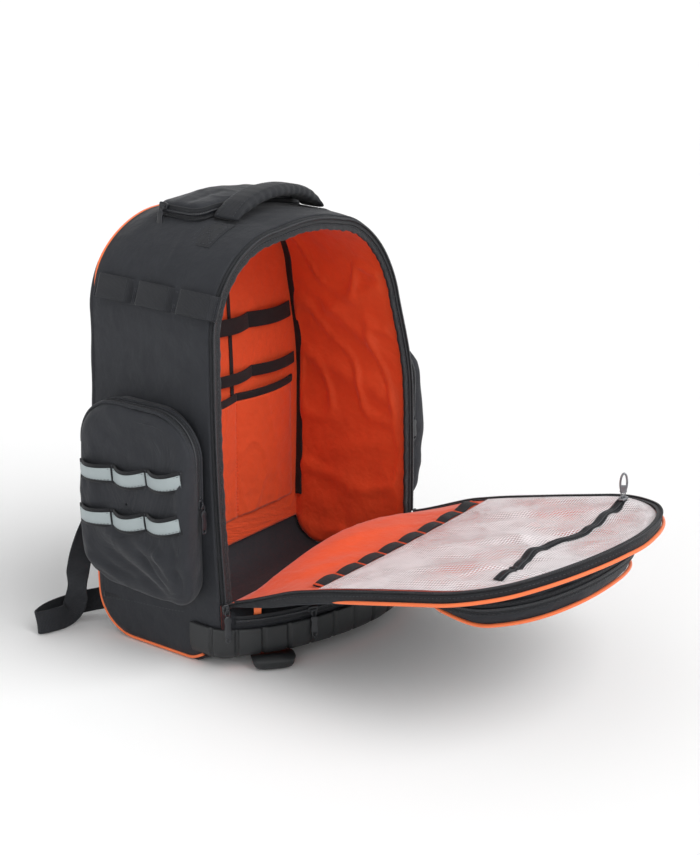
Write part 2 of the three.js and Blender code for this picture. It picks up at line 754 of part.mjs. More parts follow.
// Closed outline of the pocket in depth and height, from the lower front corner round over the top.
function pocketOutline(inset) {
  const { front, back, low, top } = SIDE_POCKET;
  const corners = [
    { y: front, z: low, sy: 1, sz: 1, r: POCKET_ROUND.bottom, from: Math.PI },
    { y: front, z: top, sy: 1, sz: -1, r: POCKET_ROUND.top, from: Math.PI },
    { y: back, z: top, sy: -1, sz: -1, r: POCKET_ROUND.top, from: Math.PI / 2 },
    { y: back, z: low, sy: -1, sz: 1, r: POCKET_ROUND.bottom, from: 0 },
  ];
  const turns = [
    [Math.PI * 1.5, Math.PI],
    [Math.PI, Math.PI / 2],
    [Math.PI / 2, 0],
    [0, -Math.PI / 2],
  ];
  const points = corners.flatMap(({ y, z, sy, sz, r }, i) =>
    spread(4, turns[i][0], turns[i][1]).map((a) => ({
      y: y + sy * r + (r - inset) * Math.cos(a),
      z: z + sz * r + (r - inset) * Math.sin(a),
    })),
  );
  const middle = (a, b) => ({ y: (a.y + b.y) / 2, z: (a.z + b.z) / 2 });
  return points.flatMap((p, i) => {
    const q = points[(i + 1) % points.length];
    return Math.hypot(p.y - q.y, p.z - q.z) > 40 ? [p, middle(p, q)] : [p];
  });
}
function pocketSag(z) {
  const down = clamp((SIDE_POCKET.top - z) / (SIDE_POCKET.top - SIDE_POCKET.low));
  return SIDE_POCKET.sag * Math.sin(Math.PI * down ** 1.6);
}
const POCKET_BASE = HALF_WIDTH + SIDE_BULGE - 0.1;
const POCKET_MID = {
  y: (SIDE_POCKET.front + SIDE_POCKET.back) / 2,
  z: (SIDE_POCKET.low + SIDE_POCKET.top) / 2,
};
function pocketRows(side, wall) {
  const steps = [
    { inset: 0, out: 0 },
    { inset: -2, out: 0.5 },
    { inset: 0, out: 0.82 },
    { inset: 6, out: 1 },
    { inset: 18, out: 1.03 },
  ];
  const rows = steps.map(({ inset, out }) =>
    pocketOutline(inset + wall).map(({ y, z }) =>
      V(side * (POCKET_BASE + (SIDE_POCKET.deep + pocketSag(z)) * out - (out > 0.6 ? wall : 0)), y, z),
    ),
  );
  const x = side * (POCKET_BASE + (SIDE_POCKET.deep + pocketSag(POCKET_MID.z)) * 1.05 - wall);
  rows.push(rows[0].map(() => V(x, POCKET_MID.y, POCKET_MID.z)));
  return rows;
}
const ZIP_OFF = 3.6; // the zip stands this far outside the pocket's outline
const POCKET_ZIP_END = 180;
for (const [name, side] of [["side_pocket_left", -1], ["side_pocket_right", 1]]) {
  addMesh(name, skin(pocketRows(side, 0), pocketRows(side, SIDE_POCKET.wall), true), "cloth");
  // its zip runs from the back of the top round and down the front
  const zipX = side * (POCKET_BASE + SIDE_POCKET.deep * 0.45);
  const over = pocketOutline(-ZIP_OFF).filter(({ z }) => z > SIDE_POCKET.top - POCKET_ROUND.top - 2);
  const turn = ({ y, z }) => Math.atan2(z - POCKET_MID.z, y - POCKET_MID.y);
  over.sort((a, b) => turn(a) - turn(b));
  over.push({ y: SIDE_POCKET.front - ZIP_OFF, z: POCKET_ZIP_END });
  const path = over.map(({ y, z }) => V(zipX, y, z));
  addMesh(
    name + "_zip",
    carried(path, flatSection(ZIP_THICK, ZIP_WIDE), (p, along) => V(0, along.z, -along.y)),
    "zip",
  );
  const at = V(zipX, SIDE_POCKET.front - ZIP_OFF - 2.6, POCKET_ZIP_END + 6);
  addMesh(name + "_pull", pullAlong(zipPull(at, 8, 27, 2.2), X, Y), "zip");
}

// Tool loops across the left pocket: black elastic with a grey reflective strip on it.
const LOOPS = [
  { name: "upper", z: 199, climb: 14, seat: 0.1 },
  { name: "lower", z: 151, climb: 17, seat: 0.4 }, // how far it is drawn in to the pocket's face
];
const LOOP = { high: 23, strip: 14, thick: 1.6, count: 3, bulge: 11, droop: 2, from: 93, to: -49 };
const loopPath = ({ z: low, climb, seat }, off) =>
  spread(24).map((k) => {
    const y = mix(LOOP.from, LOOP.to, k);
    const z = low + climb * k;
    const face = POCKET_BASE + (SIDE_POCKET.deep + pocketSag(z)) * 1.05 + 0.6;
    const edge = Math.min(1, Math.min(k, 1 - k) / 0.1);
    const out = face - seat - 1.2 * (1 - edge) + off + LOOP.bulge * fullness(k, LOOP.count);
    return V(-out, y, z - LOOP.droop * Math.sin(Math.PI * k));
  });
for (const loops of LOOPS) {
  const { name } = loops;
  const up = () => V(0, 0, 1);
  const band = flatSection(LOOP.high, LOOP.thick);
  addMesh("tool_loops_" + name, carried(loopPath(loops, 1.6), band, up), "webbing");
  addMesh(
    "reflective_strip_" + name,
    carried(loopPath(loops, 1.6 + LOOP.thick / 2 + 2 * GAP + 0.7), flatSection(LOOP.strip, 0.8), up),
    "reflective",
  );
}

// flap
// Height of the flap's edge along its reach, as shares of its whole reach and rise.
const FLAP_ROOT = { y: FRONT_Y - 4.5, z: HINGE_Z + 4.5 };
const FLAP_RISE = 112;
const FLAP_PROFILE = [
  { reach: 0, rise: 0 },
  { reach: 0.063, rise: 0.075 },
  { reach: 0.119, rise: 0.155 },
  { reach: 0.219, rise: 0.3 },
  { reach: 0.338, rise: 0.415 },
  { reach: 0.522, rise: 0.565 },
  { reach: 0.681, rise: 0.69 },
  { reach: 0.839, rise: 0.82 },
  { reach: 1, rise: 1 },
];
const FLAP_REACH = FLAP_ROOT.y - FLAP_TIP;
function edgeZ(y) {
  const t = clamp((FLAP_ROOT.y - y) / FLAP_REACH);
  const i = Math.max(1, FLAP_PROFILE.findIndex(({ reach }) => reach >= t - 1e-9));
  const a = FLAP_PROFILE[i - 1];
  const b = FLAP_PROFILE[i];
  return FLAP_ROOT.z + FLAP_RISE * mix(a.rise, b.rise, (t - a.reach) / (b.reach - a.reach));
}
const ROOT_RIM = 3;
const rimHigh = (y) => ROOT_RIM + (RIM_HIGH - ROOT_RIM) * smooth(0, 70, FLAP_ROOT.y - y);
// The fold over the hinge stands up in the middle and dies out toward the tip.
function crest(x, y) {
  const rise = smooth(FLAP_ROOT.y, FLAP_CREST_Y, y);
  const fall = Math.exp(-((Math.max(0, FLAP_CREST_Y - y) / FLAP_CREST_REACH) ** 2));
  return FLAP_CREST * Math.cos((Math.PI / 2) * clamp(Math.abs(x) / (FLAP_HALF - 5))) * rise * fall;
}
const FLAP_ROUND = FLAP_STRAIGHT - FLAP_TIP;
function flapHalf(y, inset) {
  const k = clamp((FLAP_STRAIGHT - y) / (FLAP_ROUND - inset));
  return (FLAP_HALF - inset) * (1 - k ** FLAP_POWER) ** (1 / FLAP_POWER);
}
const LOOPS_Y = -165; // the elastic loops cross the flap here
const flapDepths = [
  ...spread(3, FLAP_ROOT.y, -100),
  ...spread(2, -100, LOOPS_Y).slice(1),
  ...spread(4, LOOPS_Y, FLAP_STRAIGHT).slice(1),
];
// Outline of the flap from the left hinge round the tip to the right hinge.
function flapOutline(inset) {
  const left = flapDepths.map((y) => ({ x: -(FLAP_HALF - inset), y }));
  const tip = spread(14, 0, Math.PI).slice(1, -1).map((turn) => ({
    x: -(FLAP_HALF - inset) * Math.sign(Math.cos(turn)) * Math.abs(Math.cos(turn)) ** (2 / FLAP_POWER),
    y: FLAP_STRAIGHT - (FLAP_ROUND - inset) * Math.sin(turn) ** (2 / FLAP_POWER),
  }));
  const right = [...left].reverse().map(({ x, y }) => ({ x: -x, y }));
  return [...left, ...tip, ...right];
}
// Grid over the flap at a height below its edge; the last row is the tip.
function flapGrid(inset, height, count = 12, from = FLAP_ROOT.y, to = FLAP_TIP) {
  const depths = [...flapDepths, ...spread(6, 0, Math.PI / 2).slice(1).map(
    (turn) => FLAP_STRAIGHT - (FLAP_ROUND - inset) * Math.sin(turn),
  )].filter((y) => y <= from + 1e-6 && y >= to - 1e-6);
  if (depths[0] < from) depths.unshift(from);
  if (to > FLAP_TIP && depths[depths.length - 1] > to) depths.push(to);
  return depths.map((y) =>
    spread(count, -1, 1).map((u) => {
      const x = flapHalf(y, inset) * u;
      return V(x, y, height(x, y));
    }),
  );
}
const panelTop = (x, y) => edgeZ(y) - rimHigh(y) - 2 * GAP + 0.8 * crest(x, y);
const liningTop = (x, y) => {
  const sag = 3 * Math.cos((Math.PI / 2) * clamp(Math.abs(x) / FLAP_HALF)) * smooth(0, 120, FLAP_ROOT.y - y);
  return edgeZ(y) - 1 + crest(x, y) - sag;
};
const below = (height, by) => (x, y) => height(x, y) - by;
addMesh("flap_panel", skin(flapGrid(0, panelTop, 8), flapGrid(0, below(panelTop, 2), 8)), "cloth");
const LINING_EDGE = RIM_WALL + 2 * GAP;
addMesh(
  "flap_lining",
  skin(flapGrid(LINING_EDGE, liningTop, 10), flapGrid(LINING_EDGE, below(liningTop, LINING), 10)),
  "orange",
);
const rimRow = (inset, height) => flapOutline(inset).map(({ x, y }) => V(x, y, height(y)));
const rimFoot = (y) => edgeZ(y) - rimHigh(y);
addMesh(
  "flap_rim",
  skin([rimRow(0, rimFoot), rimRow(0, edgeZ)], [rimRow(RIM_WALL, rimFoot), rimRow(RIM_WALL, edgeZ)]),
  "cloth",
);
const outlinePath = (inset, lift, from = 1) => {
  const points = flapOutline(inset).map(({ x, y }) => V(x, y, lift(y)));
  return points.slice(from, points.length - from);
};
addMesh(
  "flap_zipper",
  carried(
    outlinePath(2.6, (y) => edgeZ(y) + 3 * GAP + ZIP_THICK / 2),
    flatSection(ZIP_WIDE - 1, ZIP_THICK),
    level,
  ),
  "zip",
);
addMesh(
  "flap_piping",
  carried(outlinePath(-PIPING - GAP, (y) => rimFoot(y) + PIPING, 3), roundSection(PIPING), level),
  "piping",
);

// Elastic loops across the flap.
const FLAP_LOOPS = { y: LOOPS_Y, half: 148, high: 14, thick: 1.2, count: 8, bulge: 3 };
addMesh(
  "flap_loop_band",
  carried(
    spread(40, -1, 1).map((u) => {
      const x = FLAP_LOOPS.half * u;
      const lift = 2.4 + FLAP_LOOPS.bulge * fullness((u + 1) / 2, FLAP_LOOPS.count);
      return V(x, FLAP_LOOPS.y, liningTop(x, FLAP_LOOPS.y) + lift);
    }),
    flatSection(FLAP_LOOPS.high, FLAP_LOOPS.thick),
    () => Y,
  ),
  "webbing",
);

// Mesh pocket over the far part of the flap, with a zip across it.
const MESH = { from: -228, zip: -357, inset: 10, thick: 1, puff: 7 };
const meshTop = (x, y) => {
  const k = clamp((MESH.from - y) / (MESH.from - MESH.zip));
  const full = Math.sin(Math.PI * k) * Math.cos((Math.PI / 2) * clamp(Math.abs(x) / FLAP_HALF));
  return liningTop(x, y) + 1.8 + MESH.puff * Math.max(0, full) + MESH.thick;
};
const meshPart = (from, to) =>
  skin(
    flapGrid(MESH.inset, meshTop, 8, from, to),
    flapGrid(MESH.inset, below(meshTop, MESH.thick), 8, from, to),
  );
addMesh("mesh_pocket", meshPart(MESH.from, MESH.zip + 6), "mesh");
addMesh("mesh_pocket_tip", meshPart(MESH.zip - 6, FLAP_TIP), "mesh");
const MESH_ZIP = { half: 128, wide: 11 };
addMesh(
  "mesh_zipper",
  carried(
    spread(16, -1, 1).map((u) => {
      const x = MESH_ZIP.half * u;
      return V(x, MESH.zip, meshTop(x, MESH.zip) - MESH.thick + ZIP_THICK / 2 - 0.4);
    }),
    flatSection(MESH_ZIP.wide, ZIP_THICK - 0.4),
    () => Y,
  ),
  "zip",
);
const standing = { x: 122, high: 27, wide: 8, thick: 1.6 };
const standingFoot = meshTop(standing.x, MESH.zip) + ZIP_THICK - 1.2;
addMesh(
  "mesh_zip_pull",
  pullAlong(
    zipPull(
      V(standing.x, MESH.zip, standingFoot + standing.high),
      standing.wide,
      standing.high,
      standing.thick,
    ),
    V(0.75, 0.66, 0),
    V(0.66, -0.75, 0),
  ),
  "steel",
);

// Outside pocket under the far part of the flap.
const BOX = { half: 118, rear: -270, straight: -318, tip: -408, deep: 42, wall: 2, round: 26 };
function boxOutline(inset) {
  const half = BOX.half - inset;
  const r = BOX.round - inset;
  const rearCorner = (sx) =>
    spread(3, 0, Math.PI / 2).map((a) => ({
      x: sx * (BOX.half - BOX.round + r * Math.cos(a)),
      y: BOX.rear - BOX.round + r * Math.sin(a),
    }));
  const reach = BOX.straight - BOX.tip - inset;
  const power = 2 / 2.3;
  const tip = spread(12, 0, Math.PI).map((turn) => ({
    x: -half * Math.sign(Math.cos(turn)) * Math.abs(Math.cos(turn)) ** power,
    y: BOX.straight - reach * Math.sin(turn) ** power,
  }));
  return [...tip, ...rearCorner(1), ...rearCorner(-1).reverse()];
}
const boxTop = (y) => edgeZ(y) - RIM_HIGH - 2 - 3 * GAP;
const boxRow = (inset, drop, wall) => boxOutline(inset + wall).map(({ x, y }) => V(x, y, boxTop(y) - drop));
const boxRows = (wall) => {
  const middle = { x: 0, y: (BOX.rear + BOX.tip) / 2 };
  const floor = BOX.deep - wall;
  return [
    boxRow(0, 0, wall),
    boxRow(-1, BOX.deep * 0.5, wall),
    boxRow(1, BOX.deep * 0.9, wall),
    boxRow(6, floor, wall),
    boxRow(30, floor + 2, wall),
    boxOutline(0).map(() => V(middle.x, middle.y, boxTop(middle.y) - floor - 3)),
  ];
};
addMesh("flap_box_pocket", skin(boxRows(0), boxRows(BOX.wall), true), "cloth");
const boxLoop = (inset, drop) => boxOutline(inset).map(({ x, y }) => V(x, y, boxTop(y) - drop));
const outward = (p, along) => V(along.y, -along.x, 0);
addMesh(
  "box_piping",
  carried(boxLoop(-PIPING + 1, BOX.deep * 0.93), roundSection(PIPING), outward, true),
  "piping",
);
addMesh(
  "box_zipper",
  carried(boxLoop(-ZIP_THICK / 2 - 2, BOX.deep * 0.42), flatSection(ZIP_THICK, ZIP_WIDE), outward, true),
  "zip",
);

// zip and tabs on the lower front panel
const sillPath = (inset, z, turn) => spread(18, -turn, turn).map((a) => {
  const p = plan(a, inset);
  return V(p.x, p.y, z);
});
addMesh(
  "front_zipper",
  carried(sillPath(5.4, 55.5, SILL_TURN * 0.94), flatSection(ZIP_THICK, ZIP_WIDE), outward),
  "zip",
);
const frontPullAt = plan(-0.62, 1.5);
const frontPull = zipPull(V(frontPullAt.x, frontPullAt.y, 58), 8, 26, 2.2, V(-2, -4, 0));
addMesh("front_pull", pullAlong(frontPull, V(0.8, -0.6, 0), V(0.6, 0.8, 0)), "zip");
const TAB = { wide: 8, high: 9, thick: 2 };
for (const [name, turn] of [["orange_tab_left", -1.06], ["orange_tab_front", -0.6]]) {
  const p = plan(turn, 10.4);
  const q = plan(turn + 0.02, 10.4);
  const along = V(q.x - p.x, q.y - p.y, 0).normalize();
  const out = V(along.y, -along.x, 0);
  const rows = [0, 1].map((k) => ({
    c: V(p.x, p.y, 59.8 + TAB.high * k).addScaledVector(out, 1.5 * k + 1),
    half: TAB.wide / 2,
    thick: TAB.thick,
  }));
  addMesh(name, pullAlong(rows, along, out), "piping");
}
const TOP_PULL = { x: -TOP_POCKET.half - 9, y: 56, long: 28, up: 13, reach: 14, end: 1.3 };
const topPullAt = V(TOP_PULL.x, TOP_PULL.y, topZ(TOP_PULL.x, TOP_PULL.y) + TOP_PULL.up);
const topPullEnd = topZ(TOP_PULL.x - TOP_PULL.reach, TOP_PULL.y) + TOP_PULL.end;
const topPullLean = V(-TOP_PULL.reach, 0, topPullEnd - topPullAt.z + TOP_PULL.long);
const topPull = zipPull(topPullAt, 8, TOP_PULL.long, 2.2, topPullLean);
addMesh("top_pull", pullAlong(topPull, Y, V(0.9, 0, 0.3)), "zip");

// carrying straps
const STRAP = { wide: 64, thick: 12, x: 62, top: 424, low: 168 };
const BACK_FACE = BACK_Y + BACK_THICK;
for (const [name, side] of [["left", -1], ["right", 1]]) {
  const pad = curve(
    [
      V(side * (STRAP.x - 14), BACK_FACE + STRAP.thick / 2 + 1.5, STRAP.top),
      V(side * STRAP.x, BACK_FACE + STRAP.thick / 2 + 9, mix(STRAP.top, STRAP.low, 0.25)),
      V(side * (STRAP.x + 14), BACK_FACE + STRAP.thick / 2 + 12, mix(STRAP.top, STRAP.low, 0.6)),
      V(side * (STRAP.x + 26), BACK_FACE + STRAP.thick / 2 + 4, STRAP.low),
    ],
    10,
  );
  addMesh("shoulder_strap_" + name, carried(pad, softSection(STRAP.wide, STRAP.thick), () => X), "cloth");
  const tail = curve(
    [
      V(side * (STRAP.x + 30), BACK_FACE + 10, STRAP.low - 16.8),
      V(side * 134, BACK_FACE + 12, 132),
      V(side * 163, BACK_FACE + 12, 100),
      V(side * 178, BACK_FACE + 12, 62),
      V(side * 182, BACK_FACE + 13, 28),
      V(side * 190, BACK_FACE + 15, 15),
      V(side * 215, BACK_FACE + 18, 14),
      V(side * 228, BACK_FACE + 26, 14),
      V(side * 206, BACK_FACE + 34, 14),
      V(side * 168, BACK_FACE + 30, 14),
      V(side * 140, BACK_FACE + 8, 18),
      V(side * 128, BACK_Y - 4.1, 24),
    ],
    24,
  );
  const webbing = flatSection(WEBBING, WEBBING_THICK);
  addMesh("strap_webbing_" + name, carried(tail, webbing, () => V(0, 0.25, 1)), "webbing");
}

export default root;
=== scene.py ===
"""Dresses the open tool backpack: its cloth, webbing, zips, netting and moulded base, and the studio round it.

Sizes in this file are millimetres until a mesh is made, and Z is up. The front of the bag faces -Y.
"""

import math  # noqa: E402

import bpy  # noqa: E402
import numpy as np  # noqa: E402
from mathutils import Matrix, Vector  # noqa: E402


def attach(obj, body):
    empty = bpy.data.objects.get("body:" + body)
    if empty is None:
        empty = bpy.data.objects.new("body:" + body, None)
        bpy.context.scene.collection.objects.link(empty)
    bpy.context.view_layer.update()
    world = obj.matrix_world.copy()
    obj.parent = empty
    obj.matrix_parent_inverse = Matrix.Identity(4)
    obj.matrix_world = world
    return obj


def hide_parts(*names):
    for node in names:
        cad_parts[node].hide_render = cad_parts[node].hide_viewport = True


bl_info = {
    "name": "Tool backpack",
    "version": (1, 0, 0),
    "blender": (4, 5, 0),
    "location": "3D View > Sidebar > Backpack",
    "description": "Makes the cloth, webbing, zips, netting and moulded base of an open tool backpack",
    "category": "Add Mesh",
}

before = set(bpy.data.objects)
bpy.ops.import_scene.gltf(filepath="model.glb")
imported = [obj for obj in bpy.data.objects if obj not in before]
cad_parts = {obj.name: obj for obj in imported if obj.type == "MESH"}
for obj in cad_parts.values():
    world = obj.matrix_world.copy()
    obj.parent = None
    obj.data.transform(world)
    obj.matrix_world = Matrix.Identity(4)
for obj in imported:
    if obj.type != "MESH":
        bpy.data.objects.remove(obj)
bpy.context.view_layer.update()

# Main body, as in the part
HALF_WIDTH = 172
SIDE_BULGE = 4
FRONT_Y = -60
FRONT_LEAN = 14
BACK_Y = 113
TOP_FRONT = 447
TOP_BACK = 457
CORNER_X = 108
CORNER_Z = 100
CROWN = 4
CROWN_SHARE = 2 / 11
SHOULDER_SHARE = 8 / 11
HINGE_Z = 67
CLOTH = 2.8
LINING = 1.5
GAP = 0.5
BACK_THICK = 15
SKIN_BACK = BACK_Y - CLOTH - GAP
LINING_INSET = CLOTH + GAP
LINING_BACK = 105
BACK_LINING_Y = LINING_BACK + GAP
ORGANISER_Y = BACK_LINING_Y - 0.3

# Underside and moulded base
HEEL_RADIUS = 50
HEEL_Y = BACK_Y - HEEL_RADIUS
FLAT_FRONT = -16
RISE_FRONT = -52
RISE = 13.8
BASE_HALF = 182
BASE_REACH = 88
BASE_POWER = 1.7
BASE_END = -24
BASE_TOP = 47
BASE_BOTTOM = 13.4
BASE_WALL = 4.2
BASE_LIP = 15
LIP_FROM = 68
LIP_FULL = 86
RIB_COUNT = 17
GROOVE_SHARE = 0.16
GROOVE_DEPTH = 2.4
FOOT = {"x": 136, "y": -98, "long": 46, "wide": 31, "high": 13, "slant": 0.72}
FRONT_ZIP = {"inset": 5, "z": 55.5}
SILL_TURN = math.radians(76)
SILL_TOP = HINGE_Z - 1.9

# Flap
FLAP_HALF = 166
FLAP_STRAIGHT = -318
FLAP_TIP = -441
FLAP_POWER = 1.85
RIM_HIGH = 11.5
RIM_WALL = 3
ROOT_RIM = 3
FLAP_CREST = 26
FLAP_CREST_Y = -86
FLAP_CREST_REACH = 46
FLAP_ROOT_Y = FRONT_Y - 4.5
FLAP_ROOT_Z = HINGE_Z + 4.5
FLAP_RISE = 112
FLAP_REACH_SHARES = (0, 0.063, 0.119, 0.219, 0.338, 0.522, 0.681, 0.839, 1)
FLAP_RISE_SHARES = (0, 0.075, 0.155, 0.3, 0.415, 0.565, 0.69, 0.82, 1)
FLAP_LOOPS = {"y": -165, "half": 148, "count": 8, "high": 13}
MESH = {"from": -174, "zip": -357, "zip_half": 128, "inset": 7, "thick": 1, "puff": 7}
BOX = {"half": 118, "rear": -270, "straight": -318, "tip": -408, "deep": 42, "round": 26, "power": 2.3}

# Webbing, zips and cords
WEBBING = 25
WEBBING_THICK = 2.2
PIPING = 1.9

# Inside of the back
POCKET = {"half": 156, "low": 62, "top": 206, "puff": 9, "count": 3, "thick": 1.3}
DIVIDER = {"top": 418, "x": 45, "wide": 6, "thick": 0.3}
PAD = {"column": 58, "half": 132, "low": 92, "top": 425, "pitch": 74, "sunk": 4.5}
BELTS = (
    {"z": 300, "high": 20, "loops": 4},
    {"z": 236, "high": 14, "loops": 4},
)
BELT_BULGE = 8
TAPE_FRONT = ORGANISER_Y - DIVIDER["thick"] - 0.25

# Top, sides and straps
TOP_POCKET = {"half": 99, "front": 24, "back": 84, "level": 465, "turn": 13}
HANDLE = {"half": 81, "y": 3, "wide": 33, "thick": 13, "rise": 15}
LADDER = {"z": 380, "loops": 3, "bulge": 4, "from": -57, "to": 104}
SIDE_POCKET = {"front": -37, "back": 98, "low": 78, "top": 272, "deep": 30, "sag": 7, "lean": 13, "zip": 0.62}
POCKET_ROUND = {"top": 44, "bottom": 20, "heel": 44}
POCKET_BASE = HALF_WIDTH + SIDE_BULGE - 0.1
POCKET_MID = (
    (SIDE_POCKET["front"] + SIDE_POCKET["back"]) / 2,
    (SIDE_POCKET["low"] + SIDE_POCKET["top"]) / 2,
)
LOOPS = (
    {"z": 199, "climb": 14, "seat": 0.1},
    {"z": 151, "climb": 17, "seat": 0.4},
)
LOOP = {"high": 21, "strip": 13.5, "count": 3, "bulge": 6.5, "droop": 2, "from": 93, "to": -46}
STRAP = {"wide": 64, "thick": 12, "x": 62, "top": 424, "low": 168}
BACK_FACE = BACK_Y + BACK_THICK

# How far the open bag slumps at its right shoulder, draws in at its left flank and sinks at its back edge
SLUMP = (-14, 9.5, -12)
DRAWN_IN = (6, 0, 0)
BACK_SINK = (0, 0, -4.5)

# The camera, fitted to the photograph's 700 by 855 frame
CAMERA = {"target": (0, -50, 245), "azimuth": -53, "elevation": 17, "distance": 1811}
LENS = 70.86
SHIFT = (0.0409, -0.0292)

# The studio: lengths in metres
KEY_WAY = (-0.2, 0.85, -0.85)
KEY_WIDTH = math.radians(60)
SIDE_LIGHT = {"at": (-2.3, -0.9, 1.0), "aim": (0, -0.1, 0.25), "size": 1.2}
FLOOR = {"flat": 9, "reach": 15, "rise": 10, "shade": 0.96, "drop": 0.0002, "sides": 96}

X = np.array([1.0, 0, 0])
Y = np.array([0, 1.0, 0])
Z = np.array([0, 0, 1.0])


# Numbers and fields


def ease(start, end, t):
    """0 before start, 1 after end, and a smooth step between them."""
    k = np.clip((np.asarray(t, float) - start) / (end - start), 0, 1)
    return k * k * (3 - 2 * k)


def mix(a, b, t):
    """The value that lies the share t of the way from a to b."""
    return a + (b - a) * t


def points(x, y, z):
    """Coordinates of any matching shapes as one array of points."""
    return np.stack(np.broadcast_arrays(*(np.asarray(c, float) for c in (x, y, z))), -1)


def unit(v):
    """Vectors scaled to length one."""
    return v / np.maximum(np.linalg.norm(v, axis=-1, keepdims=True), 1e-9)


def field(at, wave, seed, count=16):
    """A sum of cosine waves of about one wavelength in random directions, mostly from -1 to 1."""
    rng = np.random.default_rng(seed)
    ways = unit(rng.normal(size=(count, 3))) * (2 * math.pi / wave) * rng.uniform(0.7, 1.4, (count, 1))
    phase = rng.uniform(0, 2 * math.pi, count)
    return np.cos(at @ ways.T + phase).sum(-1) * math.sqrt(2 / count) * 0.5


def creases(at, wave, seed, width=0.2):
    """Narrow ridges along the lines where a field is zero: 1 on such a line and 0 away from it."""
    return np.exp(-((field(at, wave, seed) / width) ** 2))


def fold(a, b, start, end, width, power=2):
    """A ridge along the line from start to end in the plane of a and b, of that width, dying out at its ends."""
    (a0, b0), (a1, b1) = start, end
    da, db = a1 - a0, b1 - b0
    long = math.hypot(da, db)
    along = ((a - a0) * da + (b - b0) * db) / long
    off = np.abs((a - a0) * db - (b - b0) * da) / long
    ends = ease(-0.15 * long, 0.25 * long, along) * (1 - ease(0.75 * long, 1.15 * long, along))
    return np.exp(-((off / width) ** power)) * ends


def folds(a, b, table):
    """Folds added up from a table, each with its height, start, end and width."""
    return sum(high * fold(a, b, start, end, width) for high, start, end, width in table)


def fullness(k, count):
    """Fullness of cloth between stitch lines at equal shares: 0 on each line and 1 halfway."""
    return np.abs(np.sin(math.pi * k * count)) ** 0.8


def far_along(line):
    """How far along a line each of its points lies."""
    return np.concatenate([[0], np.cumsum(np.linalg.norm(np.diff(line, axis=0), axis=1))])


def curve(through, count):
    """A smooth line through the points: cubic spans with the chord's slope at each point, evenly spaced by length."""
    p = np.asarray(through, float)
    t = np.concatenate([[0], np.cumsum(np.linalg.norm(np.diff(p, axis=0), axis=1) ** 0.5)])
    slope = np.gradient(p, t, axis=0)
    at = np.linspace(0, t[-1], count * 4)
    i = np.clip(np.searchsorted(t, at, side="right") - 1, 0, len(t) - 2)
    h = (t[i + 1] - t[i])[:, None]
    k = ((at - t[i])[:, None]) / h
    line = (
        (2 * k**3 - 3 * k**2 + 1) * p[i]
        + (k**3 - 2 * k**2 + k) * h * slope[i]
        + (3 * k**2 - 2 * k**3) * p[i + 1]
        + (k**3 - k**2) * h * slope[i + 1]
    )
    return even(line, count)


def even(line, count, closed=False):
    """The same line with count points at equal steps of its length."""
    p = np.asarray(line, float)
    if closed:
        p = np.concatenate([p, p[:1]])
    far = far_along(p)
    at = np.linspace(0, far[-1], count, endpoint=not closed)
    return np.stack([np.interp(at, far, p[:, i]) for i in range(p.shape[1])], -1)


def rounded(rings, times=2):
    """Closed rings with their corners cut off that many times, so that a few points become a rounded outline."""
    for _ in range(times):
        after = np.roll(rings, -1, axis=-2)
        rings = np.stack([rings * 0.75 + after * 0.25, rings * 0.25 + after * 0.75], -2)
        rings = rings.reshape(*rings.shape[:-3], -1, rings.shape[-1])
    return rings


def normals(rows, closed=False):
    """Unit normals of a grid of points: the cross product of its steps along and across."""
    if closed:
        along = np.roll(rows, -1, 1) - np.roll(rows, 1, 1)
    else:
        along = np.gradient(rows, axis=1)
    return unit(np.cross(along, np.gradient(rows, axis=0)))


def outward(rows, centre, closed=False):
    """The grid's normals, all turned away from a centre."""
    n = normals(rows, closed)
    away = ((rows - np.asarray(centre, float)) * n).sum(-1).mean()
    return n if away > 0 else -n


def plan_out(path):
    """Level directions to the right of a path, seen from above."""
    along = unit(np.gradient(path, axis=0))
    return np.stack([along[:, 1], -along[:, 0], 0 * along[:, 0]], -1)


def settle(at):
    """How the soft body slumps: the right shoulder sinks and leans back, the left side draws in at the back,
    and the top sinks a little toward the back."""
    x, y, z = at[..., 0], at[..., 1], at[..., 2]
    shoulder = ease(-30, 150, x) * ease(220, 400, z) * ease(-150, -60, y) * mix(1, 0.75, ease(-60, 110, y))
    flank = ease(60, 172, -x) * ease(-40, 100, y) * ease(50, 190, z) * (1 - ease(320, 450, z))
    flank = flank * (1 - ease(114, 122, y) * 0.3) * (1 - ease(177, 185, -x))
    nape = ease(84, 108, y) * ease(390, 450, z)
    parts = ((SLUMP, shoulder), (DRAWN_IN, flank), (BACK_SINK, nape))
    return at + sum(np.array(move, float) * share[..., None] for move, share in parts)


# Meshes


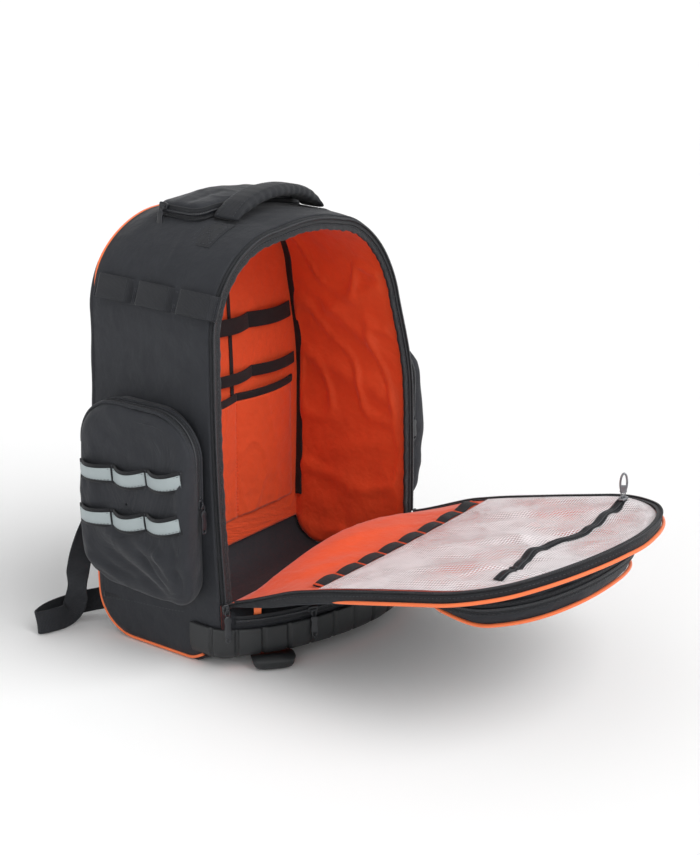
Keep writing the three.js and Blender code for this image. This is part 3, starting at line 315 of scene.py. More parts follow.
class Maker:
    """Collects grids of points into one mesh whose UV map holds lengths in metres on the cloth."""

    def __init__(self):
        self.at, self.sides, self.corners, self.uv, self.finish, self.count = [], [], [], [], [], 0

    def grid(self, rows, closed=False, ring=False, caps=False, finish=0, uv=None, flip=False):
        """Quads between the rows. closed joins the last column to the first, ring the last row to the first,
        and caps closes both ends with one flat face."""
        n, m = rows.shape[:2]
        if uv is None:
            uv = lengths(rows, closed, ring)
        ids = np.arange(n * m).reshape(n, m) + self.count
        i, j = np.meshgrid(np.arange(n if ring else n - 1), np.arange(m if closed else m - 1), indexing="ij")
        i, j = i.ravel(), j.ravel()
        steps = ((0, 0), (0, 1), (1, 1), (1, 0))
        if flip:
            steps = steps[::-1]
        quads = np.stack([ids[(i + a) % n, (j + b) % m] for a, b in steps], -1)
        high, wide = uv.shape[0] - 1, uv.shape[1] - 1
        maps = np.stack([uv[np.minimum(i + a, high), np.minimum(j + b, wide)] for a, b in steps], 1)
        self.at.append(rows.reshape(-1, 3))
        self._add(quads, maps, finish)
        if caps:
            for row, turn in ((0, flip), (n - 1, not flip)):
                line = ids[row] if turn else ids[row][::-1]
                at = uv[row, :m] if turn else uv[row, :m][::-1]
                self._add(line[None], at[None], finish)
        self.count += n * m
        return self

    def many(self, blocks, finish=0):
        """Many small closed shapes at once, as an array of shape (count, rings, 4, 3)."""
        s, n, m = blocks.shape[:3]
        ids = np.arange(s * n * m).reshape(s, n, m) + self.count
        after = np.roll(ids, -1, 2)
        wall = np.stack([ids[:, :-1], after[:, :-1], after[:, 1:], ids[:, 1:]], -1)
        quads = np.concatenate([wall.reshape(-1, 4), ids[:, 0, ::-1], ids[:, -1, :]])
        local = blocks.reshape(-1, 3) / 1000
        self.at.append(blocks.reshape(-1, 3))
        self._add(quads, local[quads - self.count][..., :2], finish)
        self.count += s * n * m
        return self

    def _add(self, faces, maps, finish):
        self.sides.append(np.full(len(faces), faces.shape[1]))
        self.corners.append(faces.ravel())
        self.uv.append(maps.reshape(-1, 2))
        self.finish.append(np.full(len(faces), finish))

    def build(self, name, finishes, slot, replaces=(), wall=0, smooth=True):
        """Makes the object, gives it its finishes, and sets it to ride on the bag in place of the CAD nodes."""
        mesh = bpy.data.meshes.new(name)
        sides, corners = np.concatenate(self.sides), np.concatenate(self.corners)
        at = settle(np.concatenate(self.at)) / 1000
        mesh.vertices.add(len(at))
        mesh.vertices.foreach_set("co", at.ravel())
        mesh.loops.add(len(corners))
        mesh.loops.foreach_set("vertex_index", corners.astype(np.int32))
        mesh.polygons.add(len(sides))
        mesh.polygons.foreach_set("loop_start", (np.cumsum(sides) - sides).astype(np.int32))
        mesh.polygons.foreach_set("loop_total", sides.astype(np.int32))
        mesh.polygons.foreach_set("material_index", np.concatenate(self.finish).astype(np.int32))
        mesh.polygons.foreach_set("use_smooth", np.full(len(sides), smooth))
        mesh.update(calc_edges=True)
        mesh.uv_layers.new(name="flat").data.foreach_set("uv", np.concatenate(self.uv).ravel())
        for finish in finishes if isinstance(finishes, (list, tuple)) else [finishes]:
            mesh.materials.append(FINISHES[finish])
        obj = bpy.data.objects.new(name, mesh)
        bpy.context.scene.collection.objects.link(obj)
        if wall:
            give_wall(obj, wall)
        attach(obj, "root")
        if replaces:
            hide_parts(*replaces)
        return obj


def give_wall(obj, thick, offset=-1):
    """Gives a sheet its thickness in millimetres, on its inner side or, at offset 0, on both."""
    solid = obj.modifiers.new("wall", "SOLIDIFY")
    solid.thickness, solid.offset, solid.use_even_offset = thick / 1000, offset, False


def lengths(rows, closed=False, ring=False):
    """Lengths along and across the grid, in metres, one row and column more where it closes."""
    p = np.concatenate([rows, rows[:, :1]], 1) if closed else rows
    p = np.concatenate([p, p[:1]], 0) if ring else p
    u = np.zeros(p.shape[:2])
    v = np.zeros(p.shape[:2])
    u[:, 1:] = np.cumsum(np.linalg.norm(np.diff(p, axis=1), axis=-1), 1)
    v[1:] = np.cumsum(np.linalg.norm(np.diff(p, axis=0), axis=-1), 0)
    u -= u[:, p.shape[1] // 2][:, None]
    return np.stack([u, v], -1) / 1000


def carry(path, section, side, ring=False):
    """A section of (across, up) points carried along a path. side is the direction of across at each point."""
    path = np.asarray(path, float)
    if ring:
        along = unit(np.roll(path, -1, 0) - np.roll(path, 1, 0))
    else:
        along = unit(np.gradient(path, axis=0))
    side = np.broadcast_to(np.asarray(side, float), path.shape)
    across = unit(side - (side * along).sum(-1, keepdims=True) * along)
    up = np.cross(along, across)
    section = np.broadcast_to(np.asarray(section, float), (len(path), *np.shape(section)[-2:]))
    return path[:, None] + section[..., :1] * across[:, None] + section[..., 1:] * up[:, None]


def strap_uv(path, section, ring=False):
    """Place across the strap and length along the path, in metres."""
    p = np.concatenate([path, path[:1]]) if ring else path
    far = far_along(p)
    across = np.append(section[..., 0].reshape(-1, section.shape[-2])[0], section[..., 0].ravel()[0])
    return np.stack(np.broadcast_arrays(across[None], far[:, None]), -1) / 1000


def round_section(radius, count=12):
    """A circle of points."""
    a = np.linspace(0, 2 * math.pi, count, endpoint=False)
    return np.stack([radius * np.cos(a), radius * np.sin(a)], -1)


def flat_section(wide, thick, crown=0.0):
    """A strap's section: a flat band with round edges, a little fuller in the middle by crown."""
    t = np.array([-1, -0.97, -0.88, -0.6, -0.2, 0.2, 0.6, 0.88, 0.97, 1])
    high = thick / 2 * np.array([0.35, 0.8, 1, 1, 1, 1, 1, 1, 0.8, 0.35]) + crown * (1 - t * t)
    over = np.stack([wide / 2 * t, high], -1)
    under = np.stack([wide / 2 * t[::-1], -high[::-1]], -1)
    return np.concatenate([under[::-1], over[::-1]])


def soft_section(wide, thick, count=28):
    """A padded strap's section: a flattened oval, full in the middle and thin at its stitched edges."""
    a = np.linspace(0, 2 * math.pi, count, endpoint=False)
    c, s = np.cos(a), np.sin(a)
    return np.stack([wide / 2 * np.sign(c) * np.abs(c) ** 0.5, thick / 2 * np.sign(s) * np.abs(s) ** 0.8], -1)


def strap(maker, path, wide, thick, side, ring=False, finish=0, crown=0.0):
    """Adds a flat strap along a path."""
    section = flat_section(wide, thick, crown)
    rows = carry(path, section, side, ring)
    maker.grid(rows, closed=True, ring=ring, caps=not ring, finish=finish, uv=strap_uv(path, section, ring))


def tube(maker, path, radius, side=(0.13, 0.21, 0.97), ring=False, finish=0, count=12):
    """Adds a round cord along a path."""
    section = round_section(radius, count)
    maker.grid(carry(path, section, side, ring), closed=True, ring=ring, caps=not ring, finish=finish)


def coil(maker, path, side, wide=3.0, thick=1.7, pitch=1.7, finish=1):
    """Adds a zip's nylon coil: an oval tube whose size rises and falls once at each turn of the coil."""
    turns = max(4, int(far_along(path)[-1] / pitch))
    line = even(path, turns * 4)
    side = resample(np.broadcast_to(side, path.shape), len(line))
    swell = 1 + 0.24 * np.cos(np.arange(len(line)) * math.pi / 2)
    section = round_section(1, 8) * np.array([wide / 2, thick / 2])
    maker.grid(carry(line, section[None] * swell[:, None, None], side), closed=True, caps=True, finish=finish)


def resample(values, count):
    """The same row of vectors with count entries."""
    old = np.linspace(0, 1, len(values))
    new = np.linspace(0, 1, count)
    return np.stack([np.interp(new, old, values[:, i]) for i in range(values.shape[1])], -1)


def stitch(maker, path, out, finish=0, long=3.0, pitch=4.4, radius=0.42):
    """Adds a row of thread stitches on a line: each is a short bar with tapered ends, half sunk in the cloth."""
    path = np.asarray(path, float)
    count = max(2, int(far_along(path)[-1] / pitch))
    line = even(path, count * 2 + 1)
    at, along = line[1::2], unit(line[2::2] - line[:-2:2])
    out = np.broadcast_to(np.asarray(out, float), path.shape)
    out = resample(out, count)
    out = unit(out - (out * along).sum(-1, keepdims=True) * along)
    side = np.cross(along, out)
    reach = np.array([-0.5, -0.34, 0.34, 0.5])[None, :, None, None] * long
    size = np.array([0.35, 1, 1, 0.35])[None, :, None, None] * radius
    turn = np.array([0.25, 0.75, 1.25, 1.75]) * math.pi
    c, s = np.cos(turn)[None, None, :, None], np.sin(turn)[None, None, :, None]
    blocks = (
        at[:, None, None] + along[:, None, None] * reach + (out[:, None, None] * c - side[:, None, None] * s) * size
    )
    maker.many(blocks, finish)


def slab(maker, at, along, out, long, wide, thick, waist=None, finish=0, rings=10):
    """Adds a small moulded part: rounded rectangles whose width follows the waist table along its length."""
    along, out = unit(np.asarray(along, float)), np.asarray(out, float)
    out = unit(out - (out @ along) * along)
    side = np.cross(along, out)
    k = np.concatenate([[0, 0.03], np.linspace(0.1, 0.9, rings), [0.97, 1]])
    shrink = np.concatenate([[0.72, 0.93], np.ones(rings), [0.93, 0.72]])
    width = shrink if waist is None else shrink * np.interp(k, *zip(*waist))
    a = np.linspace(0, 2 * math.pi, 16, endpoint=False)
    c = np.sign(np.cos(a)) * np.abs(np.cos(a)) ** 0.35
    s = np.sign(np.sin(a)) * np.abs(np.sin(a)) ** 0.35
    rows = (
        np.asarray(at, float)
        + along * (long * k)[:, None, None]
        + side * (wide / 2 * width)[:, None, None] * c[None, :, None]
        + out * (thick / 2 * shrink)[:, None, None] * s[None, :, None]
    )
    maker.grid(rows, closed=True, caps=True, finish=finish)


def torus(maker, at, axis, radius, thick, stretch=None, finish=0):
    """Adds a ring of round wire, or a link if it is stretched along a direction."""
    axis = unit(np.asarray(axis, float))
    first = unit(np.cross(axis, [0.31, 0.22, 0.92]) if stretch is None else np.asarray(stretch[:3], float))
    first = unit(first - (first @ axis) * axis)
    second = np.cross(axis, first)
    a = np.linspace(0, 2 * math.pi, 24, endpoint=False)[:, None]
    more = 1 if stretch is None else stretch[3]
    path = np.asarray(at, float) + first * np.cos(a) * radius * more + second * np.sin(a) * radius
    tube(maker, path, thick, side=axis, ring=True, finish=finish, count=10)


def slider(maker, at, along, out, hang, long=27, wide=8, finish=0):
    """Adds a zip slider with its bridge, link and moulded pull. along runs with the zip, out stands off it,
    and hang is the direction of the pull."""
    at, along, out = np.asarray(at, float), unit(np.asarray(along, float)), unit(np.asarray(out, float))
    hang = unit(np.asarray(hang, float))
    slab(maker, at - along * 5.5, along, out, 11, 8.2, 3.4, [(0, 0.72), (0.45, 1), (1, 0.86)], finish)
    slab(maker, at - along * 3.6 + out * 2.9, along, out, 7.2, 2.4, 1.6, finish=finish, rings=4)
    flat = unit(np.cross(hang, np.cross(out, hang)))
    link = at + out * 3.6 + hang * 3.0
    torus(maker, link, flat, 2.3, 0.65, (*hang, 1.5), finish)
    waist = [(0, 0.62), (0.1, 0.92), (0.22, 1), (0.34, 0.74), (0.62, 0.86), (0.9, 1), (1, 0.9)]
    slab(maker, link + hang * 3.0, hang, flat, long - 9, wide, 2.3, waist, finish, rings=14)
    torus(maker, link + hang * (long - 5.0), flat, 2.5, 1.0, (*hang, 1.2), finish)


# Shapes of the bag


def front_y(z):
    """Plane of the opening at a height."""
    return FRONT_Y + FRONT_LEAN * np.maximum(0, (z - HINGE_Z) / (TOP_FRONT - HINGE_Z))


def arch(s, inset, top, low):
    """The arch of both ends of the bag: a crown, a quarter ellipse at the shoulder, then a side that swells
    by a half sine. s runs from -1 at the left foot over the crown to 1."""
    a, flat = np.abs(s), HALF_WIDTH - CORNER_X
    rx, rz, shoulder = CORNER_X - inset, CORNER_Z - inset, top - inset - CROWN
    crown = np.clip(a / CROWN_SHARE, 0, 1)
    turn = np.clip((a - CROWN_SHARE) / (SHOULDER_SHARE - CROWN_SHARE), 0, 1) * math.pi / 2
    side = np.clip((a - SHOULDER_SHARE) / (1 - SHOULDER_SHARE), 0, 1)
    on_crown, on_side = a <= CROWN_SHARE, a > SHOULDER_SHARE
    x = np.where(on_crown, flat * crown, flat + rx * np.sin(turn))
    x = np.where(on_side, HALF_WIDTH - inset + SIDE_BULGE * np.sin(math.pi * side), x)
    z = np.where(on_crown, top - inset - CROWN * crown**2, shoulder - rz * (1 - np.cos(turn)))
    z = np.where(on_side, mix(shoulder - rz, low, side), z)
    return np.sign(s) * x, z


def arch_shares(crown=10, shoulder=34, side=64):
    """Shares of the arch from foot to foot, close together where it turns."""
    half = np.concatenate([
        np.linspace(0, CROWN_SHARE, crown, endpoint=False),
        np.linspace(CROWN_SHARE, SHOULDER_SHARE, shoulder, endpoint=False),
        np.linspace(SHOULDER_SHARE, 1, side),
    ])
    return np.concatenate([-half[:0:-1], half])


def underside_z(y, inset):
    """Height of the underside: raised in front, flat, then a quarter circle at the heel."""
    r = HEEL_RADIUS - inset
    heel = HEEL_RADIUS - np.sqrt(np.maximum(0, r * r - np.maximum(0, y - HEEL_Y) ** 2))
    flat = inset + RISE * (1 - ease(RISE_FRONT, FLAT_FRONT, y))
    return np.where(y <= HEEL_Y, flat, heel)


def bag_depths(count=46, heel=18):
    """Shares of the bag's depth from the opening to the back, close together at the heel."""
    heel_share = (HEEL_Y - FRONT_Y) / (SKIN_BACK - FRONT_Y)
    turn = np.sin(np.linspace(0, math.pi / 2, heel))
    return np.concatenate([np.linspace(0, heel_share, count, endpoint=False), mix(heel_share, 1, turn)])


def bag_rows(inset, back=SKIN_BACK, front=0, lift=0):
    """The bent skin of the bag: the arch at each depth, from the leaning plane of the opening to the back."""
    t = bag_depths()[:, None]
    foot = mix(FRONT_Y + front, back, t)
    x, z = arch(arch_shares()[None], inset, mix(TOP_FRONT, TOP_BACK, t), underside_z(foot, CLOTH + GAP) + lift)
    return points(x, mix(front_y(z) + front, back, t), z)


def top_z(x, y):
    """Height of the bag's top over a point of its plan."""
    t = np.clip((y - FRONT_Y - FRONT_LEAN) / (SKIN_BACK - FRONT_Y - FRONT_LEAN), 0, 1)
    top, flat, a = mix(TOP_FRONT, TOP_BACK, t), HALF_WIDTH - CORNER_X, np.abs(x)
    sine = np.clip((a - flat) / CORNER_X, 0, 1)
    return np.where(a <= flat, top - CROWN * (a / flat) ** 2, top - CROWN - CORNER_Z * (1 - np.sqrt(1 - sine**2)))


def plan(turn, inset):
    """Plan curve of the base: a superellipse from one side wing round the front to the other."""
    c = np.abs(np.cos(turn)) ** (2 / BASE_POWER)
    s = np.abs(np.sin(turn)) ** (2 / BASE_POWER) * np.sign(turn)
    return (BASE_HALF - inset) * s, RISE_FRONT - (BASE_REACH - inset) * c


def plan_y(x, inset):
    """Depth of the base's front at a place across."""
    k = np.minimum(1, np.abs(x) / (BASE_HALF - inset))
    return RISE_FRONT - (BASE_REACH - inset) * (1 - k**BASE_POWER) ** (1 / BASE_POWER)


def edge_z(y):
    """Height of the flap's edge along its reach, a smooth line through the table of shares."""
    t = np.clip((FLAP_ROOT_Y - y) / (FLAP_ROOT_Y - FLAP_TIP), 0, 1)
    spread = np.linspace(-0.03, 0.03, 7)
    rise = np.mean([np.interp(np.clip(t + d, 0, 1), FLAP_REACH_SHARES, FLAP_RISE_SHARES) for d in spread], axis=0)
    near = ease(0, 0.06, t) * ease(0, 0.06, 1 - t)
    exact = np.interp(t, FLAP_REACH_SHARES, FLAP_RISE_SHARES)
    return FLAP_ROOT_Z + FLAP_RISE * mix(exact, rise, near)


def rim_high(y):
    """Height of the flap's wall, low at the hinge."""
    return ROOT_RIM + (RIM_HIGH - ROOT_RIM) * ease(0, 70, FLAP_ROOT_Y - y)


def crest(x, y):
    """The fold over the hinge, which stands up in the middle and dies out toward the tip."""
    rise = ease(0, FLAP_ROOT_Y - FLAP_CREST_Y, FLAP_ROOT_Y - y)
    fall = np.exp(-((np.maximum(0, FLAP_CREST_Y - y) / FLAP_CREST_REACH) ** 2))
    return FLAP_CREST * np.cos(math.pi / 2 * np.clip(np.abs(x) / (FLAP_HALF - 5), 0, 1)) * rise * fall


def flap_half(y, inset):
    """Half width of the flap at a depth: straight, then a superellipse to the tip."""
    k = np.clip((FLAP_STRAIGHT - y) / (FLAP_STRAIGHT - FLAP_TIP - inset), 0, 1)
    return (FLAP_HALF - inset) * (1 - k**FLAP_POWER) ** (1 / FLAP_POWER)


def flap_depths(inset, start=FLAP_ROOT_Y, end=FLAP_TIP, count=120):
    """Depths from start to end, closer together at the round tip."""
    tip = max(end, FLAP_TIP + inset)
    k = np.linspace(0, 1, count)
    ease_out = np.sin(k * math.pi / 2) if end <= FLAP_TIP else k
    return mix(start, tip, mix(k, ease_out, 0.75))


def flap_grid(inset, height, start=FLAP_ROOT_Y, end=FLAP_TIP, count=120, across=91):
    """A grid over the flap, inset from its edge, at a height over each point."""
    y = flap_depths(inset, start, end, count)[:, None]
    x = np.maximum(flap_half(y, inset), 0.4) * np.linspace(-1, 1, across)[None]
    return points(x, y, height(x, y + 0 * x))


def flap_outline(inset, count=420, trim=0.0):
    """Plan of the flap's edge from the left hinge round the tip to the right hinge."""
    k = np.linspace(0, math.pi, 400)
    tip_x = -(FLAP_HALF - inset) * np.sign(np.cos(k)) * np.abs(np.cos(k)) ** (2 / FLAP_POWER)
    tip_y = FLAP_STRAIGHT - (FLAP_STRAIGHT - FLAP_TIP - inset) * np.sin(k) ** (2 / FLAP_POWER)
    side = np.linspace(FLAP_ROOT_Y - trim, FLAP_STRAIGHT, 60)[:-1]
    left = np.stack([np.full_like(side, -(FLAP_HALF - inset)), side], -1)
    right = left[::-1] * [-1, 1]
    return even(np.concatenate([left, np.stack([tip_x, tip_y], -1), right]), count)


def lining_top(x, y):
    """Top of the flap's lining: the edge's height, the fold over the hinge and a slight sag."""
    sag = 3 * np.cos(math.pi / 2 * np.clip(np.abs(x) / FLAP_HALF, 0, 1)) * ease(0, 120, FLAP_ROOT_Y - y)
    return edge_z(y) - 1 + crest(x, y) - sag


def panel_top(x, y):
    """Top of the flap's outer panel, which lies under the lining."""
    return edge_z(y) - rim_high(y) - 2 * GAP + 0.8 * crest(x, y)


# Finishes

FINISHES = {}


def shader(name):
    """A new material with its principled shader, and a function that adds nodes to it."""
    made = bpy.data.materials.new(name)
    made.use_nodes = True
    tree = made.node_tree
    main = tree.nodes["Principled BSDF"]

    def node(kind, inputs=(), **settings):
        new = tree.nodes.new(kind)
        for key, value in settings.items():
            setattr(new, key, value)
        for key, value in dict(inputs).items():
            if isinstance(value, bpy.types.NodeSocket):
                tree.links.new(value, new.inputs[key])
            else:
                new.inputs[key].default_value = value
        return new

    return made, main, node, tree.links.new


def settings(main, **values):
    """Sets plain values on the principled shader's sockets, named in lower case with underscores."""
    names = {"ior_level": "Specular IOR Level"}
    for key, value in values.items():
        main.inputs[names.get(key, key.replace("_", " ").title())].default_value = value


def calc(node, operation, *values):
    """A math node's output."""
    return node("ShaderNodeMath", dict(enumerate(values)), operation=operation).outputs[0]


def cloth_places(node):
    """Lengths in metres along the cloth's own two directions, from its UV map."""
    at = node("ShaderNodeUVMap", uv_map="flat").outputs[0]
    parts = node("ShaderNodeSeparateXYZ", {0: at}).outputs
    return at, parts[0], parts[1]


def noise(node, place, scale, detail=3.0, rough=0.55):
    """A noise value at a place, with that many features to the metre."""
    inputs = {"Vector": place, "Scale": scale, "Detail": detail, "Roughness": rough}
    return node("ShaderNodeTexNoise", inputs).outputs[0]


def crossing(node, u, v, pitch):
    """Threads that cross: the product of a sine along each direction, from 0 to 1."""
    a = calc(node, "SINE", calc(node, "MULTIPLY", u, math.pi / pitch))
    b = calc(node, "SINE", calc(node, "MULTIPLY", v, math.pi / pitch))
    return calc(node, "MULTIPLY_ADD", calc(node, "MULTIPLY", a, b), 0.5, 0.5)


def rows_of(node, u, v, pitch, slant=0.0):
    """Ribs across a strap, which lean by slant to each side of its middle like herringbone."""
    zag = calc(node, "ABSOLUTE", calc(node, "SUBTRACT", calc(node, "FRACT", calc(node, "MULTIPLY", v, 160.0)), 0.5))
    lean = calc(node, "MULTIPLY", zag, slant)
    phase = calc(node, "ADD", calc(node, "MULTIPLY", u, 2 * math.pi / pitch), lean)
    return calc(node, "MULTIPLY_ADD", calc(node, "SINE", phase), 0.5, 0.5)


def tint(node, link, main, colour, dark, light, factor):
    """Base colour between a darker and a lighter version of a colour by a factor."""
    ramp = node("ShaderNodeMix", data_type="RGBA", blend_type="MIX")
    ramp.inputs[6].default_value = (*(c * dark for c in colour), 1)
    ramp.inputs[7].default_value = (*(min(1, c * light) for c in colour), 1)
    link(factor, ramp.inputs[0])
    link(ramp.outputs[2], main.inputs["Base Color"])
    return ramp


def raise_by(node, link, main, heights):
    """Bump from several heights, each with its depth in metres and strength."""
    normal = None
    for height, depth, strength in heights:
        inputs = {"Height": height, "Distance": depth, "Strength": strength}
        if normal is not None:
            inputs["Normal"] = normal
        normal = node("ShaderNodeBump", inputs).outputs[0]
    link(normal, main.inputs["Normal"])


def cloth_finish(name, colour, pitch, rough, thread=0.3, sheen=0.09, dark=0.8, light=1.25, crumple=0.4):
    """Woven cloth: crossing threads, fine fuzz, soft crumples, and a colour that varies with the threads, the fuzz and
    broad patches.
    """
    made, main, node, link = shader(name)
    at, u, v = cloth_places(node)
    weave = crossing(node, u, v, pitch)
    fuzz = noise(node, at, 2200, 2)
    patch = noise(node, at, 26, 4, 0.6)
    bend = noise(node, at, 60, 3, 0.5)
    shade = calc(node, "ADD", calc(node, "MULTIPLY", weave, 0.35), calc(node, "MULTIPLY", patch, 0.75))
    shade = calc(node, "ADD", shade, calc(node, "MULTIPLY", calc(node, "SUBTRACT", fuzz, 0.5), 0.5))
    tint(node, link, main, colour, dark, light, shade)
    raise_by(node, link, main, [(bend, 0.004, crumple), (weave, pitch * 0.3, thread), (fuzz, 0.0002, 0.35)])
    link(calc(node, "MULTIPLY_ADD", patch, -0.16, rough + 0.08), main.inputs["Roughness"])
    settings(main, sheen_weight=sheen, sheen_roughness=0.45, ior_level=0.35)
    FINISHES[name] = made


def webbing_finish(name, colour, pitch, rough, slant=5.0, sheen=0.08):
    """Woven strap: ribs across it that lean like herringbone, with painted shade that darkens the hollows between them.
    """
    made, main, node, link = shader(name)
    at, u, v = cloth_places(node)
    rib = rows_of(node, v, u, pitch, slant)
    fuzz = noise(node, at, 1800, 2)
    patch = noise(node, at, 40, 3)
    # Colour lighter on the ribs and darker in the hollows between them: painted shade, mixed with broad random patches.
    shade = calc(node, "ADD", calc(node, "MULTIPLY", rib, 0.5), calc(node, "MULTIPLY", patch, 0.5))
    tint(node, link, main, colour, 0.6, 1.35, shade)
    raise_by(node, link, main, [(rib, pitch * 0.25, 0.5), (fuzz, 0.0002, 0.3)])
    link(calc(node, "MULTIPLY_ADD", patch, -0.12, rough + 0.06), main.inputs["Roughness"])
    settings(main, sheen_weight=sheen, ior_level=0.35)
    FINISHES[name] = made


def netting_finish(name, colour, pitch):
    """Netting: white threads that leave round holes in a staggered pattern, sheer in places and bunched in others."""
    made, main, node, link = shader(name)
    at, u, v = cloth_places(node)
    a = calc(node, "SINE", calc(node, "MULTIPLY", u, math.pi / pitch))
    b = calc(node, "SINE", calc(node, "MULTIPLY", v, math.pi / pitch))
    hole = calc(node, "ABSOLUTE", calc(node, "MULTIPLY", a, b))
    hollow = node("ShaderNodeMapRange", {0: hole, 1: 0.2, 2: 0.42}, interpolation_type="SMOOTHSTEP").outputs[0]
    bunch = noise(node, at, 11, 4, 0.6)
    sheer = node("ShaderNodeMapRange", {0: bunch, 1: 0.4, 2: 0.6, 3: 1.0, 4: 0.3}).outputs[0]
    tint(node, link, main, colour, 0.92, 1.06, noise(node, at, 60, 3))
    link(calc(node, "SUBTRACT", 1.0, calc(node, "MULTIPLY", hollow, sheer)), main.inputs["Alpha"])
    raise_by(node, link, main, [(hole, 0.0006, 0.5)])
    settings(main, roughness=0.65, sheen_weight=0.3)
    FINISHES[name] = made


def moulded_finish(name, colour, rough, grain=900, depth=0.00025, edge_paleness=0.25):
    """Moulded rubber or plastic: a fine grain, slow changes of gloss and slightly paler raised edges."""
    made, main, node, link = shader(name)
    at = node("ShaderNodeTexCoord").outputs["Object"]
    fine = noise(node, at, grain, 3, 0.6)
    broad = noise(node, at, 18, 3)
    edge = node("ShaderNodeNewGeometry").outputs["Pointiness"]
    # Raised edges, where the surface is most convex, are made paler in the colour.
    pale_edge = node("ShaderNodeMapRange", {0: edge, 1: 0.5, 2: 0.62}).outputs[0]
    shade = calc(node, "ADD", calc(node, "MULTIPLY", broad, 0.6), calc(node, "MULTIPLY", pale_edge, edge_paleness))
    tint(node, link, main, colour, 0.78, 1.45, shade)
    raise_by(node, link, main, [(fine, depth, 0.4), (broad, 0.002, 0.15)])
    link(calc(node, "MULTIPLY_ADD", broad, -0.2, rough + 0.1), main.inputs["Roughness"])
    FINISHES[name] = made


def metal_finish(name, colour, rough):
    """Plain plated metal with fine scratches along it."""
    made, main, node, link = shader(name)
    at = node("ShaderNodeTexCoord").outputs["Object"]
    place = node("ShaderNodeMapping", {0: at, 3: (900, 900, 60)}).outputs[0]
    fine = noise(node, place, 1.0, 3)
    tint(node, link, main, colour, 0.8, 1.1, fine)
    raise_by(node, link, main, [(fine, 0.0001, 0.2)])
    link(calc(node, "MULTIPLY_ADD", fine, 0.2, rough), main.inputs["Roughness"])
    settings(main, metallic=1.0)
    FINISHES[name] = made


def tape_finish(name, colour, rough):
    """Reflective tape: a smooth grey film full of fine glass beads, a little creased."""
    made, main, node, link = shader(name)
    at = cloth_places(node)[0]
    bead = noise(node, at, 3000, 1)
    crease = noise(node, at, 70, 4, 0.6)
    shade = calc(node, "MULTIPLY_ADD", bead, 0.5, calc(node, "MULTIPLY", crease, 0.5))
    tint(node, link, main, colour, 0.85, 1.1, shade)
    raise_by(node, link, main, [(crease, 0.0015, 0.35), (bead, 0.0001, 0.3)])
    settings(main, roughness=rough, metallic=0.15)
    FINISHES[name] = made


def srgb(colour):
    """A colour picked on screen, from 0 to 255, as the shader's linear numbers."""
    c = np.asarray(colour, float) / 255
    return tuple(np.where(c <= 0.04045, c / 12.92, ((c + 0.055) / 1.055) ** 2.4))


def make_finishes(sizes):
    """All the finishes, from the colours and the thread size that are set in the panel."""
    thread = sizes.thread
    black, orange, trim = tuple(sizes.black), tuple(sizes.orange), tuple(sizes.trim)

    def black_by(share):
        return tuple(c * share for c in black)

    cloth_finish("cloth", black, thread, 0.72)
    cloth_finish("pad_cloth", black_by(0.95), thread * 1.6, 0.85, thread=0.5, crumple=0.2)
    cloth_finish("lining", orange, thread * 0.8, 0.68, thread=0.2, sheen=0.2, dark=0.86, light=1.1, crumple=0.5)
    cloth_finish("piping", trim, thread * 0.8, 0.5, thread=0.25, sheen=0.1, dark=0.88, light=1.1, crumple=0.1)
    cloth_finish("binding", black_by(0.55), thread * 0.7, 0.7, thread=0.35, sheen=0.15)
    webbing_finish("webbing", black_by(0.8), 0.0016, 0.7)
    webbing_finish("elastic", black_by(0.5), 0.0011, 0.75, slant=0.0)
    webbing_finish("zip_tape", black_by(0.6), 0.0012, 0.65, slant=3.0)
    netting_finish("netting", tuple(sizes.net), sizes.net_hole)
    moulded_finish("rubber", tuple(sizes.rubber), 0.5)
    moulded_finish("coil", black_by(0.8), 0.32, 1500, 0.0001)
    moulded_finish("pull", black_by(0.75), 0.35, 1200, 0.0001)
    metal_finish("steel", srgb((150, 152, 156)), 0.25)
    tape_finish("tape", tuple(sizes.tape), 0.5)
    cloth_finish("thread", black_by(1.5), 0.0006, 0.6, sheen=0.1)
    cloth_finish("thread_orange", tuple(c * 0.95 for c in orange), 0.0006, 0.6, sheen=0.1)


# Pieces: main body


def make_shell(sizes):
    """Outer cloth of the sides and top: the bag's rows, with soft dents and a few long creases set into them."""
    rows = bag_rows(0)
    out = outward(rows, (0, 30, 200))
    x, y, z = rows[..., 0], rows[..., 1], rows[..., 2]
    t = np.broadcast_to(bag_depths()[:, None], x.shape)
    hold = ease(0, 0.1, t) * ease(0, 0.06, 1 - t) * ease(RISE + 12, 75, z)
    soft = 0.5 + 0.5 * field(rows, 120, 3) + 0.25 * field(rows, 45, 5)
    lines = (
        0.9 * fold(y, z, (-30, 352), (90, 345), 9)
        + 0.6 * fold(y, z, (-40, 320), (60, 300), 14)
        + 0.8 * fold(y, z, (-45, 290), (20, 334), 10)
        + 0.7 * fold(y, z, (90, 420), (10, 408), 9) * (np.abs(x) > 60)
        + 0.5 * creases(rows, 90, 8, 0.12)
    )
    depth = sizes.wrinkle * 1000
    rows = rows + out * (hold * depth * (0.7 * soft + 0.8 * lines))[..., None]
    maker = Maker().grid(rows, flip=True)
    shell = maker.build("shell_cloth", ["cloth"], "cloth", ["body_shell"], wall=CLOTH - 0.3)
    # Side seams low on each side: a strip in the darker binding finish. Its darkness is partly the binding's own black
    # and partly painted shade, standing for the shadow line under the edge of the lower panel.
    seam = Maker()
    for side in (-1, 1):
        y_line = np.linspace(-52, 104, 80)
        height = np.interp(y_line, [-60, 4, 59, 96], [61, 52, 47, 43])
        line = points(side * (HALF_WIDTH + 3.0), y_line, height)
        strap(seam, line, 6, 2.2, Z)
        stitch(seam, line + [side * 1.1, 0, -1.2], (side, 0, 0), 1)
    seam.build("side_seam", ["binding", "thread"], "cloth")


